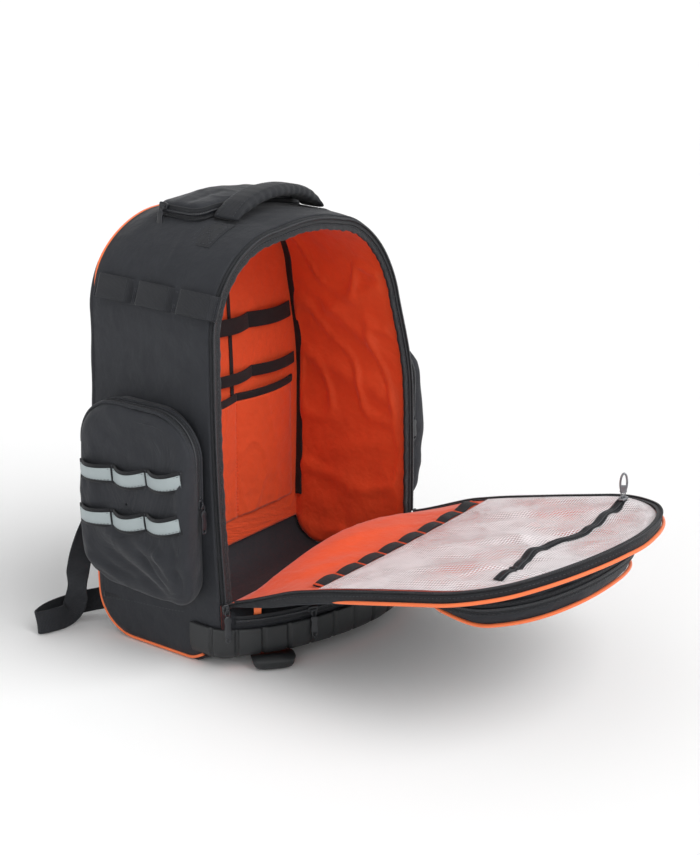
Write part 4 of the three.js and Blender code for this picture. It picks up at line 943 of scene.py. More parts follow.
def make_underside(sizes):
    """The underside from the base's lip to the heel, and the lower front panel inside the base."""
    half = HALF_WIDTH - 1
    across = half * np.linspace(-1, 1, 61)[None]
    inset = BASE_LIP + 9
    k = np.linspace(0, 1, 14)[:, None]
    front = points(across, mix(plan_y(across, inset), RISE_FRONT, k), RISE)
    y = np.linspace(RISE_FRONT, HEEL_Y, 30)[1:, None]
    flat = points(across, y, underside_z(y, 0))
    turn = np.linspace(0, math.pi / 2, 16)[1:, None]
    heel = points(across, HEEL_Y + HEEL_RADIUS * np.sin(turn), HEEL_RADIUS - HEEL_RADIUS * np.cos(turn))
    rows = np.concatenate([front, flat, heel])
    Maker().grid(rows, flip=False).build("underside_cloth", ["cloth"], "cloth", ["bottom_panel"], wall=CLOTH - 0.4)
    turns = np.linspace(-SILL_TURN, SILL_TURN, 121)
    hinge = points((HALF_WIDTH - 9) * turns / SILL_TURN, FRONT_Y - 3.4, SILL_TOP)
    rows = [hinge]
    table = ((10, 59), (7.5, 52), (BASE_WALL + 2.6, 45), (BASE_WALL + 3, RISE + CLOTH + 8))
    for inset, z in table:
        px, py = plan(turns, inset)
        rows.append(points(px, py, z))
    rows.insert(1, (rows[0] + rows[1]) / 2 + [0, 0, 1])
    through = np.array(rows)
    k = np.linspace(0, len(rows) - 1, 40)
    low = np.clip(k.astype(int), 0, len(rows) - 2)
    part = (k - low)[:, None, None]
    grid = through[low] * (1 - part) + through[low + 1] * part
    grid[..., 2] += 0.8 * field(grid, 70, 21) * ease(0, 6, k)[:, None]
    Maker().grid(grid, flip=True).build("front_sill_cloth", ["cloth"], "cloth", ["front_sill"], wall=CLOTH - 0.6)


def make_lining(sizes):
    """Orange lining of the sides and top, and the flat lining of the back, with soft wrinkles toward the inside."""
    inset = LINING_INSET + LINING
    rows = bag_rows(inset, LINING_BACK, 5, 1)
    inward = -outward(rows, (0, 30, 200))
    x, y, z = rows[..., 0], rows[..., 1], rows[..., 2]
    t = np.broadcast_to(bag_depths()[:, None], x.shape)
    hold = ease(0, 0.08, t) * ease(0, 0.08, 1 - t)
    soft = 0.5 + 0.5 * field(rows, 95, 31) + 0.35 * field(rows, 40, 33)
    lines = (
        1.3 * creases(rows * [1, 1, 0.6], 80, 35, 0.16)
        + 1.5 * fold(y, z, (-50, 360), (60, 300), 8)
        + 1.2 * fold(y, z, (-40, 250), (70, 330), 9)
        + 1.4 * fold(y, z, (-50, 200), (80, 240), 11)
        + 1.0 * fold(y, z, (-48, 160), (60, 120), 10)
    )
    rows = rows + inward * (hold * sizes.wrinkle * 1000 * (1.4 * soft + 2.3 * lines))[..., None]
    made = Maker().grid(rows).build("side_lining", ["lining"], "orange", ["body_lining"], wall=LINING - 0.2)
    px, pz = arch(arch_shares(10, 30, 40), LINING_INSET + GAP, TOP_BACK - 1.5, 31)
    px = np.concatenate([px, np.linspace(px[-1], px[0], 60)[1:]])[None]
    pz = np.concatenate([pz, np.full(59, pz[-1])])[None]
    k = np.linspace(0.003, 1, 70)[:, None]
    centre = 200.0
    x, z = px * k, centre + (pz - centre) * k
    rows = points(x, BACK_LINING_Y + 0.2, z)
    maker = Maker().grid(rows, flip=True)
    back = maker.build("back_lining_cloth", ["lining"], "orange", ["back_lining"], wall=LINING - 0.3)


def make_back_pad(sizes):
    """Padded back: a plate with the arch's outline, full between sewn channels, rounded at its edge."""
    shares = arch_shares(10, 34, 50)
    px, pz = arch(shares, 4, TOP_BACK, HEEL_RADIUS + 3)
    outline = np.stack([px, pz], -1)
    foot = np.stack([np.linspace(px[-1], px[0], 40)[1:-1], np.full(38, pz[-1])], -1)
    outline = np.concatenate([outline, foot])
    centre = np.array([0, 250.0])
    k = np.concatenate([np.linspace(0.004, 0.86, 70), 1 - 0.14 * (1 - np.linspace(0.02, 1, 24)) ** 1.6])[:, None, None]
    flat = centre + (outline[None] - centre) * k
    x, z = flat[..., 0], flat[..., 1]
    near = np.linalg.norm(outline - centre, axis=-1)[None] * (1 - k[..., 0])
    edge = np.sqrt(1 - (1 - np.clip(near / 24, 0, 1)) ** 2)
    column = np.minimum(np.abs(np.abs(x) - PAD["column"]) / 7, 1)
    across = np.minimum(np.abs((z - PAD["low"]) % PAD["pitch"] - PAD["pitch"] / 2) / 6, 1)
    inside = (np.abs(x) < PAD["half"]) & (z > PAD["low"]) & (z < PAD["top"])
    channel = np.where(inside, 1 - np.minimum(column, np.where(np.abs(x) < PAD["column"], across, 1)) ** 0.7, 0)
    high = mix(0.12, 1, edge) * BACK_THICK - PAD["sunk"] * channel + 0.8 * field(points(x, 0 * x, z), 60, 51)
    face = points(x, BACK_Y + 0.3 + np.clip(high, 1.2, BACK_THICK + 1.5), z)
    wall = points(outline[None, :, 0], BACK_Y + 0.4, outline[None, :, 1])
    inner = centre + (outline - centre) * 0.004
    under = points(inner[None, :, 0], BACK_Y + 0.4, inner[None, :, 1])
    rows = np.concatenate([face, wall, under])
    pad = Maker().grid(rows, closed=True, caps=True).build("padded_back", ["pad_cloth"], "cloth", ["back_panel"])


def make_base(sizes):
    """Moulded base: a ribbed wall swept round the front, with a lip turned in below and grooves between ribs."""
    turns = np.linspace(-math.pi / 2, math.pi / 2, 400)
    px, py = plan(turns, 0)
    wing = np.linspace(BASE_END, RISE_FRONT, 20)[:-1]
    line = np.concatenate([
        points(-BASE_HALF, wing, 0),
        points(px, py, 0),
        points(BASE_HALF, wing[::-1], 0),
    ])
    path = even(line, RIB_COUNT * 26 + 1)
    share = np.linspace(0, 1, len(path)) * RIB_COUNT
    from_edge = np.abs(share - np.round(share))
    at_end = (np.round(share) < 0.5) | (np.round(share) > RIB_COUNT - 0.5)
    half = GROOVE_SHARE * 0.5
    groove = np.where(at_end, 0, 1 - ease(half * 0.55, half * 1.25, from_edge)) * GROOVE_DEPTH
    crown = 0.5 * np.clip(from_edge / 0.5, 0, 1) ** 0.5
    out = plan_out(path)
    lip = ease(LIP_FROM, LIP_FULL, -path[:, 1])
    zero = 0 * groove

    def turned(n):
        return mix(-BASE_WALL, n, lip)

    section = np.stack([
        np.stack([-1.4 - groove, zero + BASE_TOP - groove * 0.3], -1),
        np.stack([-0.2 - groove + crown * 0.3, zero + BASE_TOP - 2.6], -1),
        np.stack([0.1 - groove + crown, zero + 34], -1),
        np.stack([-groove + crown, zero + 25], -1),
        np.stack([-2.2 - groove * 0.8 + crown, 18 + groove * 0.7], -1),
        np.stack([turned(-8) + 0.2 * (lip <= 0), BASE_BOTTOM + 1 + groove * 0.8], -1),
        np.stack([turned(-BASE_LIP), zero + BASE_BOTTOM], -1),
        np.stack([turned(-BASE_LIP), zero + BASE_BOTTOM + 2.6], -1),
        np.stack([zero - BASE_WALL, zero + 23], -1),
        np.stack([zero - BASE_WALL, BASE_TOP - groove * 0.3], -1),
    ], 1)
    section = rounded(section, 2)
    rows = path[:, None] * [1, 1, 0] + section[..., :1] * out[:, None] + section[..., 1:] * Z
    Maker().grid(rows, closed=True, caps=True).build("base_ribs", ["rubber"], "rubber", ["rubber_base"])
    feet = Maker()
    steps = ((0.0, -9.5), (0.6, -7.6), (1.6, -5.8), (3.2, -3.2), (6, -1.6), (10, -0.7), (FOOT["high"], 0))
    a = np.linspace(0, 2 * math.pi, 48, endpoint=False)
    c = np.sign(np.cos(a)) * np.abs(np.cos(a)) ** 0.55
    s = np.sign(np.sin(a)) * np.abs(np.sin(a)) ** 0.55
    for side in (-1, 1):
        rings = []
        for z, grow in steps:
            i, j = (FOOT["long"] / 2 + grow) * c, (FOOT["wide"] / 2 + grow) * s
            fx = i * math.cos(FOOT["slant"]) + j * math.sin(FOOT["slant"])
            fy = i * math.sin(FOOT["slant"]) - j * math.cos(FOOT["slant"])
            rings.append(points(side * (FOOT["x"] + fx), FOOT["y"] + fy, z))
        feet.grid(np.array(rings), closed=True, caps=True, flip=side > 0)
    feet.build("base_feet", ["rubber"], "rubber", ["foot_left", "foot_right"])


def piping_line():
    """The cord round the back edge and along the lower side seams."""

    def side(x):
        y = np.linspace(FLAT_FRONT - 20, HEEL_Y, 24)
        turn = np.linspace(0, math.pi / 2, 16)[1:]
        r = HEEL_RADIUS - CLOTH
        out = mix(x, (abs(x) - 1) * np.sign(x), turn / (math.pi / 2))
        heel = points(out, HEEL_Y + (r + 1) * np.sin(turn), HEEL_RADIUS - r * np.cos(turn))
        return np.concatenate([points(x, y, underside_z(y, CLOTH)), heel])

    foot = HALF_WIDTH + PIPING + GAP
    px, pz = arch(arch_shares(10, 30, 30)[3:-3], -1.5, TOP_BACK, HEEL_RADIUS + 3)
    px = px - np.sign(px) * 4.5 * ease(90, 150, pz) * (1 - ease(365, 410, pz))
    over = points(px, (SKIN_BACK + BACK_Y) / 2, pz)
    return even(np.concatenate([side(-foot), over, side(foot)[::-1]]), 420)


def make_back_piping(sizes):
    """Orange corded piping round the back edge."""
    maker = Maker()
    tube(maker, piping_line(), PIPING - 0.3, side=(0.02, 1, 0.3))
    maker.build("back_piping_cord", ["piping"], "piping", ["back_piping"])


def make_opening(sizes):
    """Bound edge of the opening: a folded, slightly gathered band round the arch, with the zip's tape and coil."""
    shares = arch_shares(24, 120, 180)
    px, pz = arch(shares, 0, TOP_FRONT, HINGE_Z + 4)
    line = points(px, front_y(pz), pz)
    far = far_along(line)
    gather = 0.5 * np.sin(far / 5.2 + 2.2 * np.sin(far / 31)) + 0.4 * np.sin(far / 2.3)
    profile = np.array([
        (0.2, -3.6), (-0.7, -3.4), (-0.9, -1), (-0.7, 1.4), (0.2, 2.8), (2.2, 3.3), (5.5, 2.9), (9, 3.1), (12.4, 3.2),
        (14.0, 2.3), (14.0, 0.8), (12.6, -0.4), (9, -0.5), (6.4, -4), (4, -4), (2.4, -4),
    ])
    rows = []
    for inset, off in profile:
        share = np.clip((inset - 9) / 4, 0, 1)
        px, pz = arch(shares, inset + share * gather * 0.9, TOP_FRONT, HINGE_Z + 4)
        rows.append(points(px, front_y(pz) - off - share * 0.3 * np.roll(gather, 7), pz))
    rows = rounded(np.stack(rows, 1), 1)
    maker = Maker().grid(rows, closed=True, caps=True)
    maker.build("opening_binding", ["binding"], "cloth", ["opening_band"])
    zip_maker = Maker()
    px, pz = arch(shares, 3.4, TOP_FRONT, HINGE_Z + 6)
    tape = even(points(px, front_y(pz) - 3.7, pz), 500)
    strap(zip_maker, tape, 0.9, 6.0, Y)
    px, pz = arch(shares, 1.2, TOP_FRONT, HINGE_Z + 6)
    chain = even(points(px, front_y(pz) - 5.0, pz), 500)
    coil(zip_maker, chain, Y, 2.0, 2.6)
    px, pz = arch(shares, 8.2, TOP_FRONT, HINGE_Z + 6)
    stitch(zip_maker, even(points(px, front_y(pz) - 3.35, pz), 400), -Y, 2)
    zip_maker.build("opening_zip", ["zip_tape", "coil", "thread"], "zip", ["body_zipper"])


# Pieces: inside of the back


def pocket_y(k, rise):
    """Depth of the organiser pocket's face: full between its stitch lines, fuller toward its mouth."""
    return TAPE_FRONT - POCKET["puff"] * fullness(k, POCKET["count"]) * (0.25 + 0.75 * rise)


def make_organiser(sizes):
    """Pockets on the back: an orange panel stitched into three, its black bound mouth, two elastic bands in
    loops, the divider tape and the bound seam round the back."""
    k = np.linspace(0, 1, 151)[None]
    x = POCKET["half"] * (2 * k - 1)
    rise = np.linspace(0, 1, 50)[:, None]
    rows = points(x, pocket_y(k, rise), mix(POCKET["low"], POCKET["top"], rise))
    sink = ease(0, 0.03, k * (1 - k)) * ease(0, 0.3, fullness(k, POCKET["count"]))
    rows[..., 1] -= sizes.wrinkle * 1000 * sink * (0.8 * creases(rows * [1, 1, 0.5], 55, 61, 0.2) + 0.4)
    maker = Maker().grid(rows)
    for third in (1, 2):
        px = POCKET["half"] * (2 * third / 3 - 1)
        for off in (-1.2, 1.2):
            z = np.linspace(POCKET["low"] + 3, POCKET["top"] - 2, 60)
            stitch(maker, points(px + off, TAPE_FRONT - 0.6, z), -Y, 1)
    pocket = maker.build("organiser_cloth", ["lining", "thread_orange"], "orange", ["organiser_pocket"])
    give_wall(pocket, 0.9, 0)
    bands = Maker()
    k = np.linspace(0, 1, 301)
    x = POCKET["half"] * (2 * k - 1)
    strap(bands, points(x, pocket_y(k, 1) - POCKET["thick"] / 2, POCKET["top"] + 4 + GAP), 9, 2.6, Z, crown=0.3)
    for belt in BELTS:
        y = TAPE_FRONT - 0.8 - BELT_BULGE * fullness(k, belt["loops"])
        strap(bands, points(x * 1.035, y, belt["z"] + 0.4 * field(points(x, y, 0), 60, 63)), belt["high"], 1.6, Z)
        for joint in range(belt["loops"] + 1):
            px = POCKET["half"] * (2 * joint / belt["loops"] - 1) * 0.985
            z = np.linspace(-0.42, 0.42, 20) * belt["high"] + belt["z"]
            for off in (-0.8, 0.8):
                stitch(bands, points(px + off, TAPE_FRONT - 1.9, z), -Y, 1, long=1.8, pitch=2.2)
    bands.build(
        "organiser_bands", ["elastic", "thread"], "webbing",
        ["organiser_binding", "organiser_band_upper", "organiser_band_middle"],
    )
    tapes = Maker()
    z = np.linspace(POCKET["low"] + 8, DIVIDER["top"], 60)
    strap(tapes, points(DIVIDER["x"], ORGANISER_Y - 1.6, z), DIVIDER["wide"], 0.8, X)
    shares = arch_shares(16, 60, 90)
    px, pz = arch(shares, LINING_INSET + LINING + 2.2, TOP_BACK - 0.5, 60)
    line = even(points(px, ORGANISER_Y - 4.6, pz), 400)
    line[:, 1] += 0.5 * np.sin(np.arange(400) * 0.31)
    strap(tapes, line, 9, 2.0, Y, crown=0.3)
    tapes.build("organiser_tapes", ["binding"], "webbing", ["organiser_divider", "back_seam_binding"])


# Pieces: top


def pocket_wall(x, y, share):
    """Height of the top pocket at a share of its wall: the bag's top at 0 and the pocket's flat top at 1."""
    foot = top_z(x, y) + 1.2
    return foot + share * (TOP_POCKET["level"] - foot)


def make_top(sizes):
    """Pocket on the top: a soft box with round edges, wrinkled on top, with its zip round three of its walls."""
    u = np.sin(np.linspace(-1, 1, 131) * math.pi / 2)[None]
    v = np.sin(np.linspace(-1, 1, 81) * math.pi / 2)[:, None]
    half, front, back = TOP_POCKET["half"], TOP_POCKET["front"], TOP_POCKET["back"]
    round_corner = 1 - 0.055 * np.abs(u) ** 8 * np.abs(v) ** 4
    x = half * u * round_corner
    y = mix(front, back, (v * (1 - 0.16 * np.abs(u) ** 8 * np.abs(v) ** 4) + 1) / 2)
    box = (1 - np.abs(u) ** 26) ** 0.4 * (1 - np.abs(v) ** 14) ** 0.4
    rows = points(x, y, pocket_wall(x, y, box))
    crown = 3 * (1 - u**2) * (1 - v**2)
    ripple = 0.8 * field(rows, 70, 71) + 0.7 * creases(rows, 60, 73, 0.2) + 1.2 * fold(x, y, (-96, 60), (-10, 76), 6)
    ripple = ripple - 1.3 * fold(x, y, (-90, 46), (-30, 52), 5)
    rows[..., 2] += box * (crown + sizes.wrinkle * 1000 * ripple)
    pocket = Maker().grid(rows).build("top_pocket_cloth", ["cloth"], "cloth", ["top_pocket"], wall=1.6)
    turn = TOP_POCKET["turn"]
    a = np.linspace(0, math.pi / 2, 16)
    left = points(-(half - turn + turn * np.cos(a)), front + turn - turn * np.sin(a), 0)
    middle = points(np.linspace(-half + turn, half - turn, 80)[1:-1], front, 0)
    line = np.concatenate([[[-half, back - 12, 0]], left, middle, (left * [-1, 1, 1])[::-1], [[half, back - 12, 0]]])
    line = even(line, 420)
    out = plan_out(line)
    out = out * np.sign((out * (line - [0, 70, 0])).sum(-1, keepdims=True))
    line[:, 2] = pocket_wall(line[:, 0], line[:, 1], 0.52)
    zips = Maker()
    strap(zips, line - out * 0.3, 9, 1.2, Z)
    coil(zips, line + out * 0.9, Z, 3.2, 1.8)
    tube(zips, line - out * 0.9 + [0, 0, 5.0], 1.2, side=Z, count=8)
    tube(zips, line + out * 0.1 - [0, 0, 5.2], 1.2, side=Z, count=8)
    zips.build("top_zip", ["zip_tape", "coil", "thread"], "zip", ["top_zipper"])


def handle_line(count=140):
    """The handle's middle line: it leaves the top at each foot and rises in one bow."""
    u = np.linspace(-1, 1, count)
    x = HANDLE["half"] * u
    lift = HANDLE["rise"] * (1 - np.abs(u) ** 3) ** 0.8
    return points(x, HANDLE["y"], top_z(x, HANDLE["y"]) - 0.2 + HANDLE["thick"] / 2 + lift)


def make_handle(sizes):
    """Carry handle: a padded strap with stitched edges, and flat sewn patches beyond its feet."""
    line = handle_line()
    u = np.linspace(-1, 1, len(line))
    full = 1 - 0.55 * ease(0.72, 1, np.abs(u))
    section = soft_section(HANDLE["wide"], HANDLE["thick"])[None] * np.stack([0 * u + 1, full], -1)[:, None]
    section = section * (1 + 0.02 * np.sin(u * 46)[:, None, None])
    maker = Maker().grid(carry(line, section, Y), closed=True, caps=True)
    up = unit(np.cross(np.gradient(line, axis=0), Y))
    up = up * np.sign(up[:, 2:3])
    for off in (-10.5, 10.5):
        stitch(maker, line + Y * off + up * (HANDLE["thick"] / 2 * full * 0.93)[:, None], up, 1)
    handle = maker.build("handle_grip", ["webbing", "thread"], "webbing", ["carry_handle"])
    patches = Maker()
    for side in (-1, 1):
        x = side * np.linspace(HANDLE["half"] + 5, HANDLE["half"] + 46, 50)
        row = points(x, HANDLE["y"], top_z(x, HANDLE["y"]) + 1.6 + WEBBING_THICK / 2)
        strap(patches, row, HANDLE["wide"], WEBBING_THICK, Y)
        rise = unit(np.cross(np.gradient(row, axis=0), Y))
        rise = rise * np.sign(rise[:, 2:3])
        w = HANDLE["wide"] / 2 - 3
        face = row + rise * (WEBBING_THICK / 2 + 0.1)
        part = slice(4, 46)
        for off in (-w, w):
            stitch(patches, face[part] + Y * off, rise[part], 1)
        slope = np.linspace(-w, w, 42)[:, None]
        stitch(patches, face[part] + Y * slope, rise[part], 1)
        stitch(patches, face[part] - Y * slope, rise[part], 1)
        for i in (4, 45):
            stitch(patches, face[i] + Y * np.linspace(-w, w, 12)[:, None], rise[i], 1)
    patches.build("handle_patches", ["webbing", "thread"], "webbing", ["handle_patch_left", "handle_patch_right"])


# Pieces: sides


def make_ladder(sizes):
    """Webbing ladder high on the left side: one strap sewn down at four places, standing off in three loops."""
    shares = np.linspace(CROWN_SHARE, 1, 4000)
    share = shares[np.argmin(np.abs(arch(shares, 0, TOP_FRONT, 0)[1] - LADDER["z"]))]
    ax, az = arch(np.array([-(share - 0.01), -(share + 0.01)]), 0, TOP_FRONT, 0)
    up = unit(np.array([ax[0] - ax[1], 0, az[0] - az[1]]))
    out = unit(np.array([-abs(up[2]), 0, abs(up[0])]))
    k = np.linspace(0, 1, 320)
    y = mix(LADDER["to"], LADDER["from"], k)
    px, pz = arch(np.full_like(y, -share), 0, mix(TOP_FRONT, TOP_BACK, (y - FRONT_Y) / (SKIN_BACK - FRONT_Y)), 0)
    phase = (k * LADDER["loops"]) % 1
    loop = ease(0.05, 0.16, phase) * (1 - ease(0.84, 0.95, phase))
    bow = 0.75 + 0.25 * np.sin(math.pi * phase)
    y = mix(LADDER["to"] + 4, LADDER["from"], k)
    line = points(px, y, pz) - up * (7 * (1 - k))[:, None] + out * (1.4 + (LADDER["bulge"] + 2.4) * loop * bow)[:, None]
    maker = Maker()
    strap(maker, line, WEBBING, 1.9, up)
    for joint in range(LADDER["loops"] + 1):
        at = min(joint / LADDER["loops"], 1) * (len(k) - 1)
        i = int(np.clip(at, 4, len(k) - 5))
        for shift in (-2, 2):
            bar = line[i + shift] + out * 1.05 + up * np.linspace(-10.5, 10.5, 24)[:, None]
            stitch(maker, bar, out, 1, long=2.4, pitch=2.6, radius=0.55)
    maker.build("side_ladder", ["webbing", "thread"], "webbing", ["webbing_ladder"])


def pocket_outline(inset, count=240):
    """Closed outline of a side pocket, inset from its edge: a rectangle with wide corners on top, as (y, z)."""
    front, back = SIDE_POCKET["front"], SIDE_POCKET["back"]
    low, top = SIDE_POCKET["low"], SIDE_POCKET["top"]
    corners = (
        (front, low, 1, 1, POCKET_ROUND["bottom"], 1.5, 1.0),
        (front, top, 1, -1, POCKET_ROUND["top"], 1.0, 0.5),
        (back, top, -1, -1, POCKET_ROUND["top"], 0.5, 0.0),
        (back, low, -1, 1, POCKET_ROUND["heel"], 0.0, -0.5),
    )
    parts = []
    for y, z, sy, sz, r, start, end in corners:
        a = np.linspace(start, end, 30) * math.pi
        parts.append(np.stack([y + sy * r + (r - inset) * np.cos(a), z + sz * r + (r - inset) * np.sin(a)], -1))
    return even(np.concatenate(parts), count, closed=True)


def pocket_part(inset, over, down):
    """The outline's part above the height over, and down to a lower one at the front, in order round the top."""
    line = pocket_outline(inset, 720)
    line = line[(line[:, 1] > over) | ((line[:, 1] > down) & (line[:, 0] < 0))]
    turn = np.arctan2(line[:, 1] - POCKET_MID[1], line[:, 0] - POCKET_MID[0])
    return line[np.argsort(np.where(turn < -1, turn + 2 * math.pi, turn))]


def pocket_sag(z):
    """How far the pocket's cloth sags outward at a height."""
    down = np.clip((SIDE_POCKET["top"] - z) / (SIDE_POCKET["top"] - SIDE_POCKET["low"]), 0, 1)
    return SIDE_POCKET["sag"] * np.sin(math.pi * down**1.6)


def pocket_lean(y, share):
    """How far the pocket's full front stands forward of its seam, at a share of its depth."""
    return -SIDE_POCKET["lean"] * np.clip(share, 0, 1) * (1 - ease(-40, 60, y))


POCKET_STEPS = ((0, 0), (-1.6, 7), (-2, 15), (-1.2, 22), (1.0, 27), (4.5, 29.6), (9, 30.6), (18, 31))


def pocket_rows(side):
    """The pocket from its seam outward and over its face to the middle, as closed rows."""
    rows = []
    for inset, out in curve(POCKET_STEPS, 40):
        yz = pocket_outline(inset)
        depth = POCKET_BASE + (SIDE_POCKET["deep"] + pocket_sag(yz[:, 1])) * out / 30
        rows.append(points(side * depth, yz[:, 0] + pocket_lean(yz[:, 0], out / 30), yz[:, 1]))
    edge = pocket_outline(18)
    for k in np.linspace(0, 1, 42)[1:]:
        yz = mix(edge, np.array(POCKET_MID), min(k, 0.985))
        depth = POCKET_BASE + (SIDE_POCKET["deep"] + pocket_sag(yz[:, 1])) * mix(31 / 30, 1.06, k)
        rows.append(points(side * depth, yz[:, 0] + pocket_lean(yz[:, 0], 1), yz[:, 1]))
    return np.array(rows)


def pocket_folds(y, z):
    """Baggy folds of the pocket's lower half: cloth that droops from the loops to the lower front corner."""
    return folds(y, z, (
        (1.5, (70, 150), (-30, 96), 9),
        (1.2, (20, 140), (-48, 118), 7),
        (-1.5, (60, 122), (-20, 84), 7),
        (1.1, (86, 128), (78, 90), 8),
        (-1.2, (-30, 150), (-42, 92), 6),
        (1.0, (-36, 240), (-50, 140), 6),
        (-0.7, (60, 244), (-10, 236), 8),
        (0.8, (80, 236), (74, 150), 8),
        (-1.0, (66, 104), (20, 92), 5),
        (1.3, (-10, 136), (-34, 104), 5),
        (-1.1, (8, 128), (-24, 92), 4),
        (0.9, (94, 110), (40, 86), 5),
    ))


def make_side_pockets(sizes):
    """A zipped pocket on each side: full at its edge, baggy below, its zip round the top and down the front,
    with corded seams beside it."""
    zips = Maker()
    seams = Maker()
    for name, side in (("left", -1), ("right", 1)):
        rows = pocket_rows(side)
        out = outward(rows, (0, 20, 175), closed=True)
        y, z = rows[..., 1], rows[..., 2]
        deep = np.clip((np.abs(rows[..., 0]) - POCKET_BASE) / SIDE_POCKET["deep"], 0, 1.1)
        hold = ease(0.12, 0.8, deep)
        soft = 0.5 * field(rows, 80, 81 + side) + 0.35 * field(rows, 36, 83) + 0.4 * creases(rows, 70, 85, 0.16)
        rows = rows + out * (hold * sizes.wrinkle * 1000 * (1.0 * soft + 2.2 * pocket_folds(y, z)))[..., None]
        rows[..., 2] -= hold * 3.0 * fold(y, z, (30, 78), (-44, 84), 12)
        maker = Maker().grid(rows, closed=True, flip=side < 0)
        pocket = maker.build("side_pocket_cloth_" + name, ["cloth"], "cloth", ["side_pocket_" + name])
        give_wall(pocket, 1.8)
        zip_x = side * (POCKET_BASE + SIDE_POCKET["deep"] * SIDE_POCKET["zip"])
        line = pocket_part(-3.4, 224, 180)
        path = even(points(zip_x, line[:, 0] + pocket_lean(line[:, 0], SIDE_POCKET["zip"]), line[:, 1]), 460)
        along = unit(np.gradient(path, axis=0))
        stand = np.stack([0 * along[:, 0], along[:, 2], -along[:, 1]], -1)
        stand = stand * np.sign((stand * (path - [0, *POCKET_MID])).sum(-1, keepdims=True))
        strap(zips, path + stand * 0.2, 13, 0.9, X)
        coil(zips, path + stand * 1.1, X, 3.4, 1.7)
        for off in (-8.2, 7.4):
            tube(seams, path + X * side * off - stand * 0.3, 1.7, side=X, count=10)
        face = pocket_part(9, 200, 120)
        depth = POCKET_BASE + (SIDE_POCKET["deep"] + pocket_sag(face[:, 1])) * 1.02
        ridge = even(points(side * (depth + 0.2), face[:, 0] + pocket_lean(face[:, 0], 1), face[:, 1]), 400)
        tube(seams, ridge, 1.3, side=X, count=8)
        stitch(seams, path + X * side * 5.0 + stand * 0.75, stand, 1)
        stitch(seams, path - X * side * 4.8 + stand * 0.75, stand, 1)
        base = even(points(side * (POCKET_BASE + 1.6), *pocket_outline(-1.4, 200).T), 300)
        tube(seams, base[20:280], 1.2, side=X, count=8)
    zips.build("side_pocket_zips", ["zip_tape", "coil"], "zip", ["side_pocket_left_zip", "side_pocket_right_zip"])
    seams.build("side_pocket_seams", ["cloth", "thread"], "cloth")


def loop_line(loops, off, count=300):
    """Path of a tool loop band over the left pocket: sewn down at four places and full between them."""
    k = np.linspace(0, 1, count)
    y = mix(LOOP["from"], LOOP["to"], k)
    z = loops["z"] + loops["climb"] * k
    face = POCKET_BASE + (SIDE_POCKET["deep"] + pocket_sag(z)) * 1.05 + 0.6
    edge = np.minimum(1, np.minimum(k, 1 - k) / 0.1)
    full = np.sin(math.pi * np.clip(1.1 * ((k * LOOP["count"]) % 1) - 0.05, 0, 1)) ** 0.9
    out = face - loops["seat"] - 1.2 * (1 - edge) + off + LOOP["bulge"] * full
    droop = LOOP["droop"] * np.sin(math.pi * k) + 2.6 * full * (k > 0.33)
    return points(-out, y, z + 1.2 - droop), full


def make_tool_loops(sizes):
    """Two black elastic bands across the left pocket in three loops each, with a grey reflective strip on each
    loop that stops short of the stitched joints."""
    bands = Maker()
    strips = Maker()
    for loops in LOOPS:
        line, full = loop_line(loops, 2.0)
        lean = np.stack([-0.18 * full, 0 * full, 1 + 0 * full], -1)
        strap(bands, line, LOOP["high"], 1.6, lean)
        cover = loop_line(loops, 3.5)[0]
        count = len(cover)
        for i in range(LOOP["count"]):
            a = int(count * (i + 0.03) / LOOP["count"])
            b = int(count * (i + 0.975) / LOOP["count"])
            strap(strips, cover[a:b], LOOP["strip"], 0.7, lean[a:b])
            for off in (-LOOP["strip"] / 2 + 0.9, LOOP["strip"] / 2 - 0.9):
                stitch(strips, cover[a + 2 : b - 2] + Z * off + [-0.5, 0, 0], -X, 1, long=2.4, pitch=3.6, radius=0.3)
        for joint in range(LOOP["count"] + 1):
            i = int(np.clip(joint / LOOP["count"] * (count - 1), 3, count - 4))
            bar = line[i] + [-1.2, 0, 0] + Z * np.linspace(-10.5, 10.5, 20)[:, None]
            stitch(bands, bar, -X, 1, long=2.2, pitch=2.4, radius=0.5)
    bands.build("tool_loop_bands", ["elastic", "thread"], "webbing", ["tool_loops_upper", "tool_loops_lower"])
    nodes = ["reflective_strip_upper", "reflective_strip_lower"]
    strips.build("reflective_strips", ["tape", "thread"], "reflective", nodes)


# Pieces: flap


def flap_wave(x, y):
    """Soft wrinkles over the flap's lining: long shallow ones near the hinge and small ones toward the edge."""
    at = points(x, y, 0 * x)
    edge = ease(0, 26, flap_half(y, 4) - np.abs(x)) * ease(0, 22, FLAP_ROOT_Y - y)
    lines = (
        1.2 * fold(x, y, (-120, -110), (-40, -150), 9)
        + 0.9 * fold(x, y, (-60, -100), (70, -128), 10)
        - 1.1 * fold(x, y, (-150, -150), (-110, -230), 9)
        + 1.0 * fold(x, y, (100, -110), (150, -190), 9)
    )
    return edge * (0.7 * field(at, 90, 91) + 0.4 * creases(at, 80, 93, 0.24) + lines)


def dressed_lining(x, y, depth):
    """Top of the flap's lining with its wrinkles."""
    return lining_top(x, y) + depth * flap_wave(x, y)


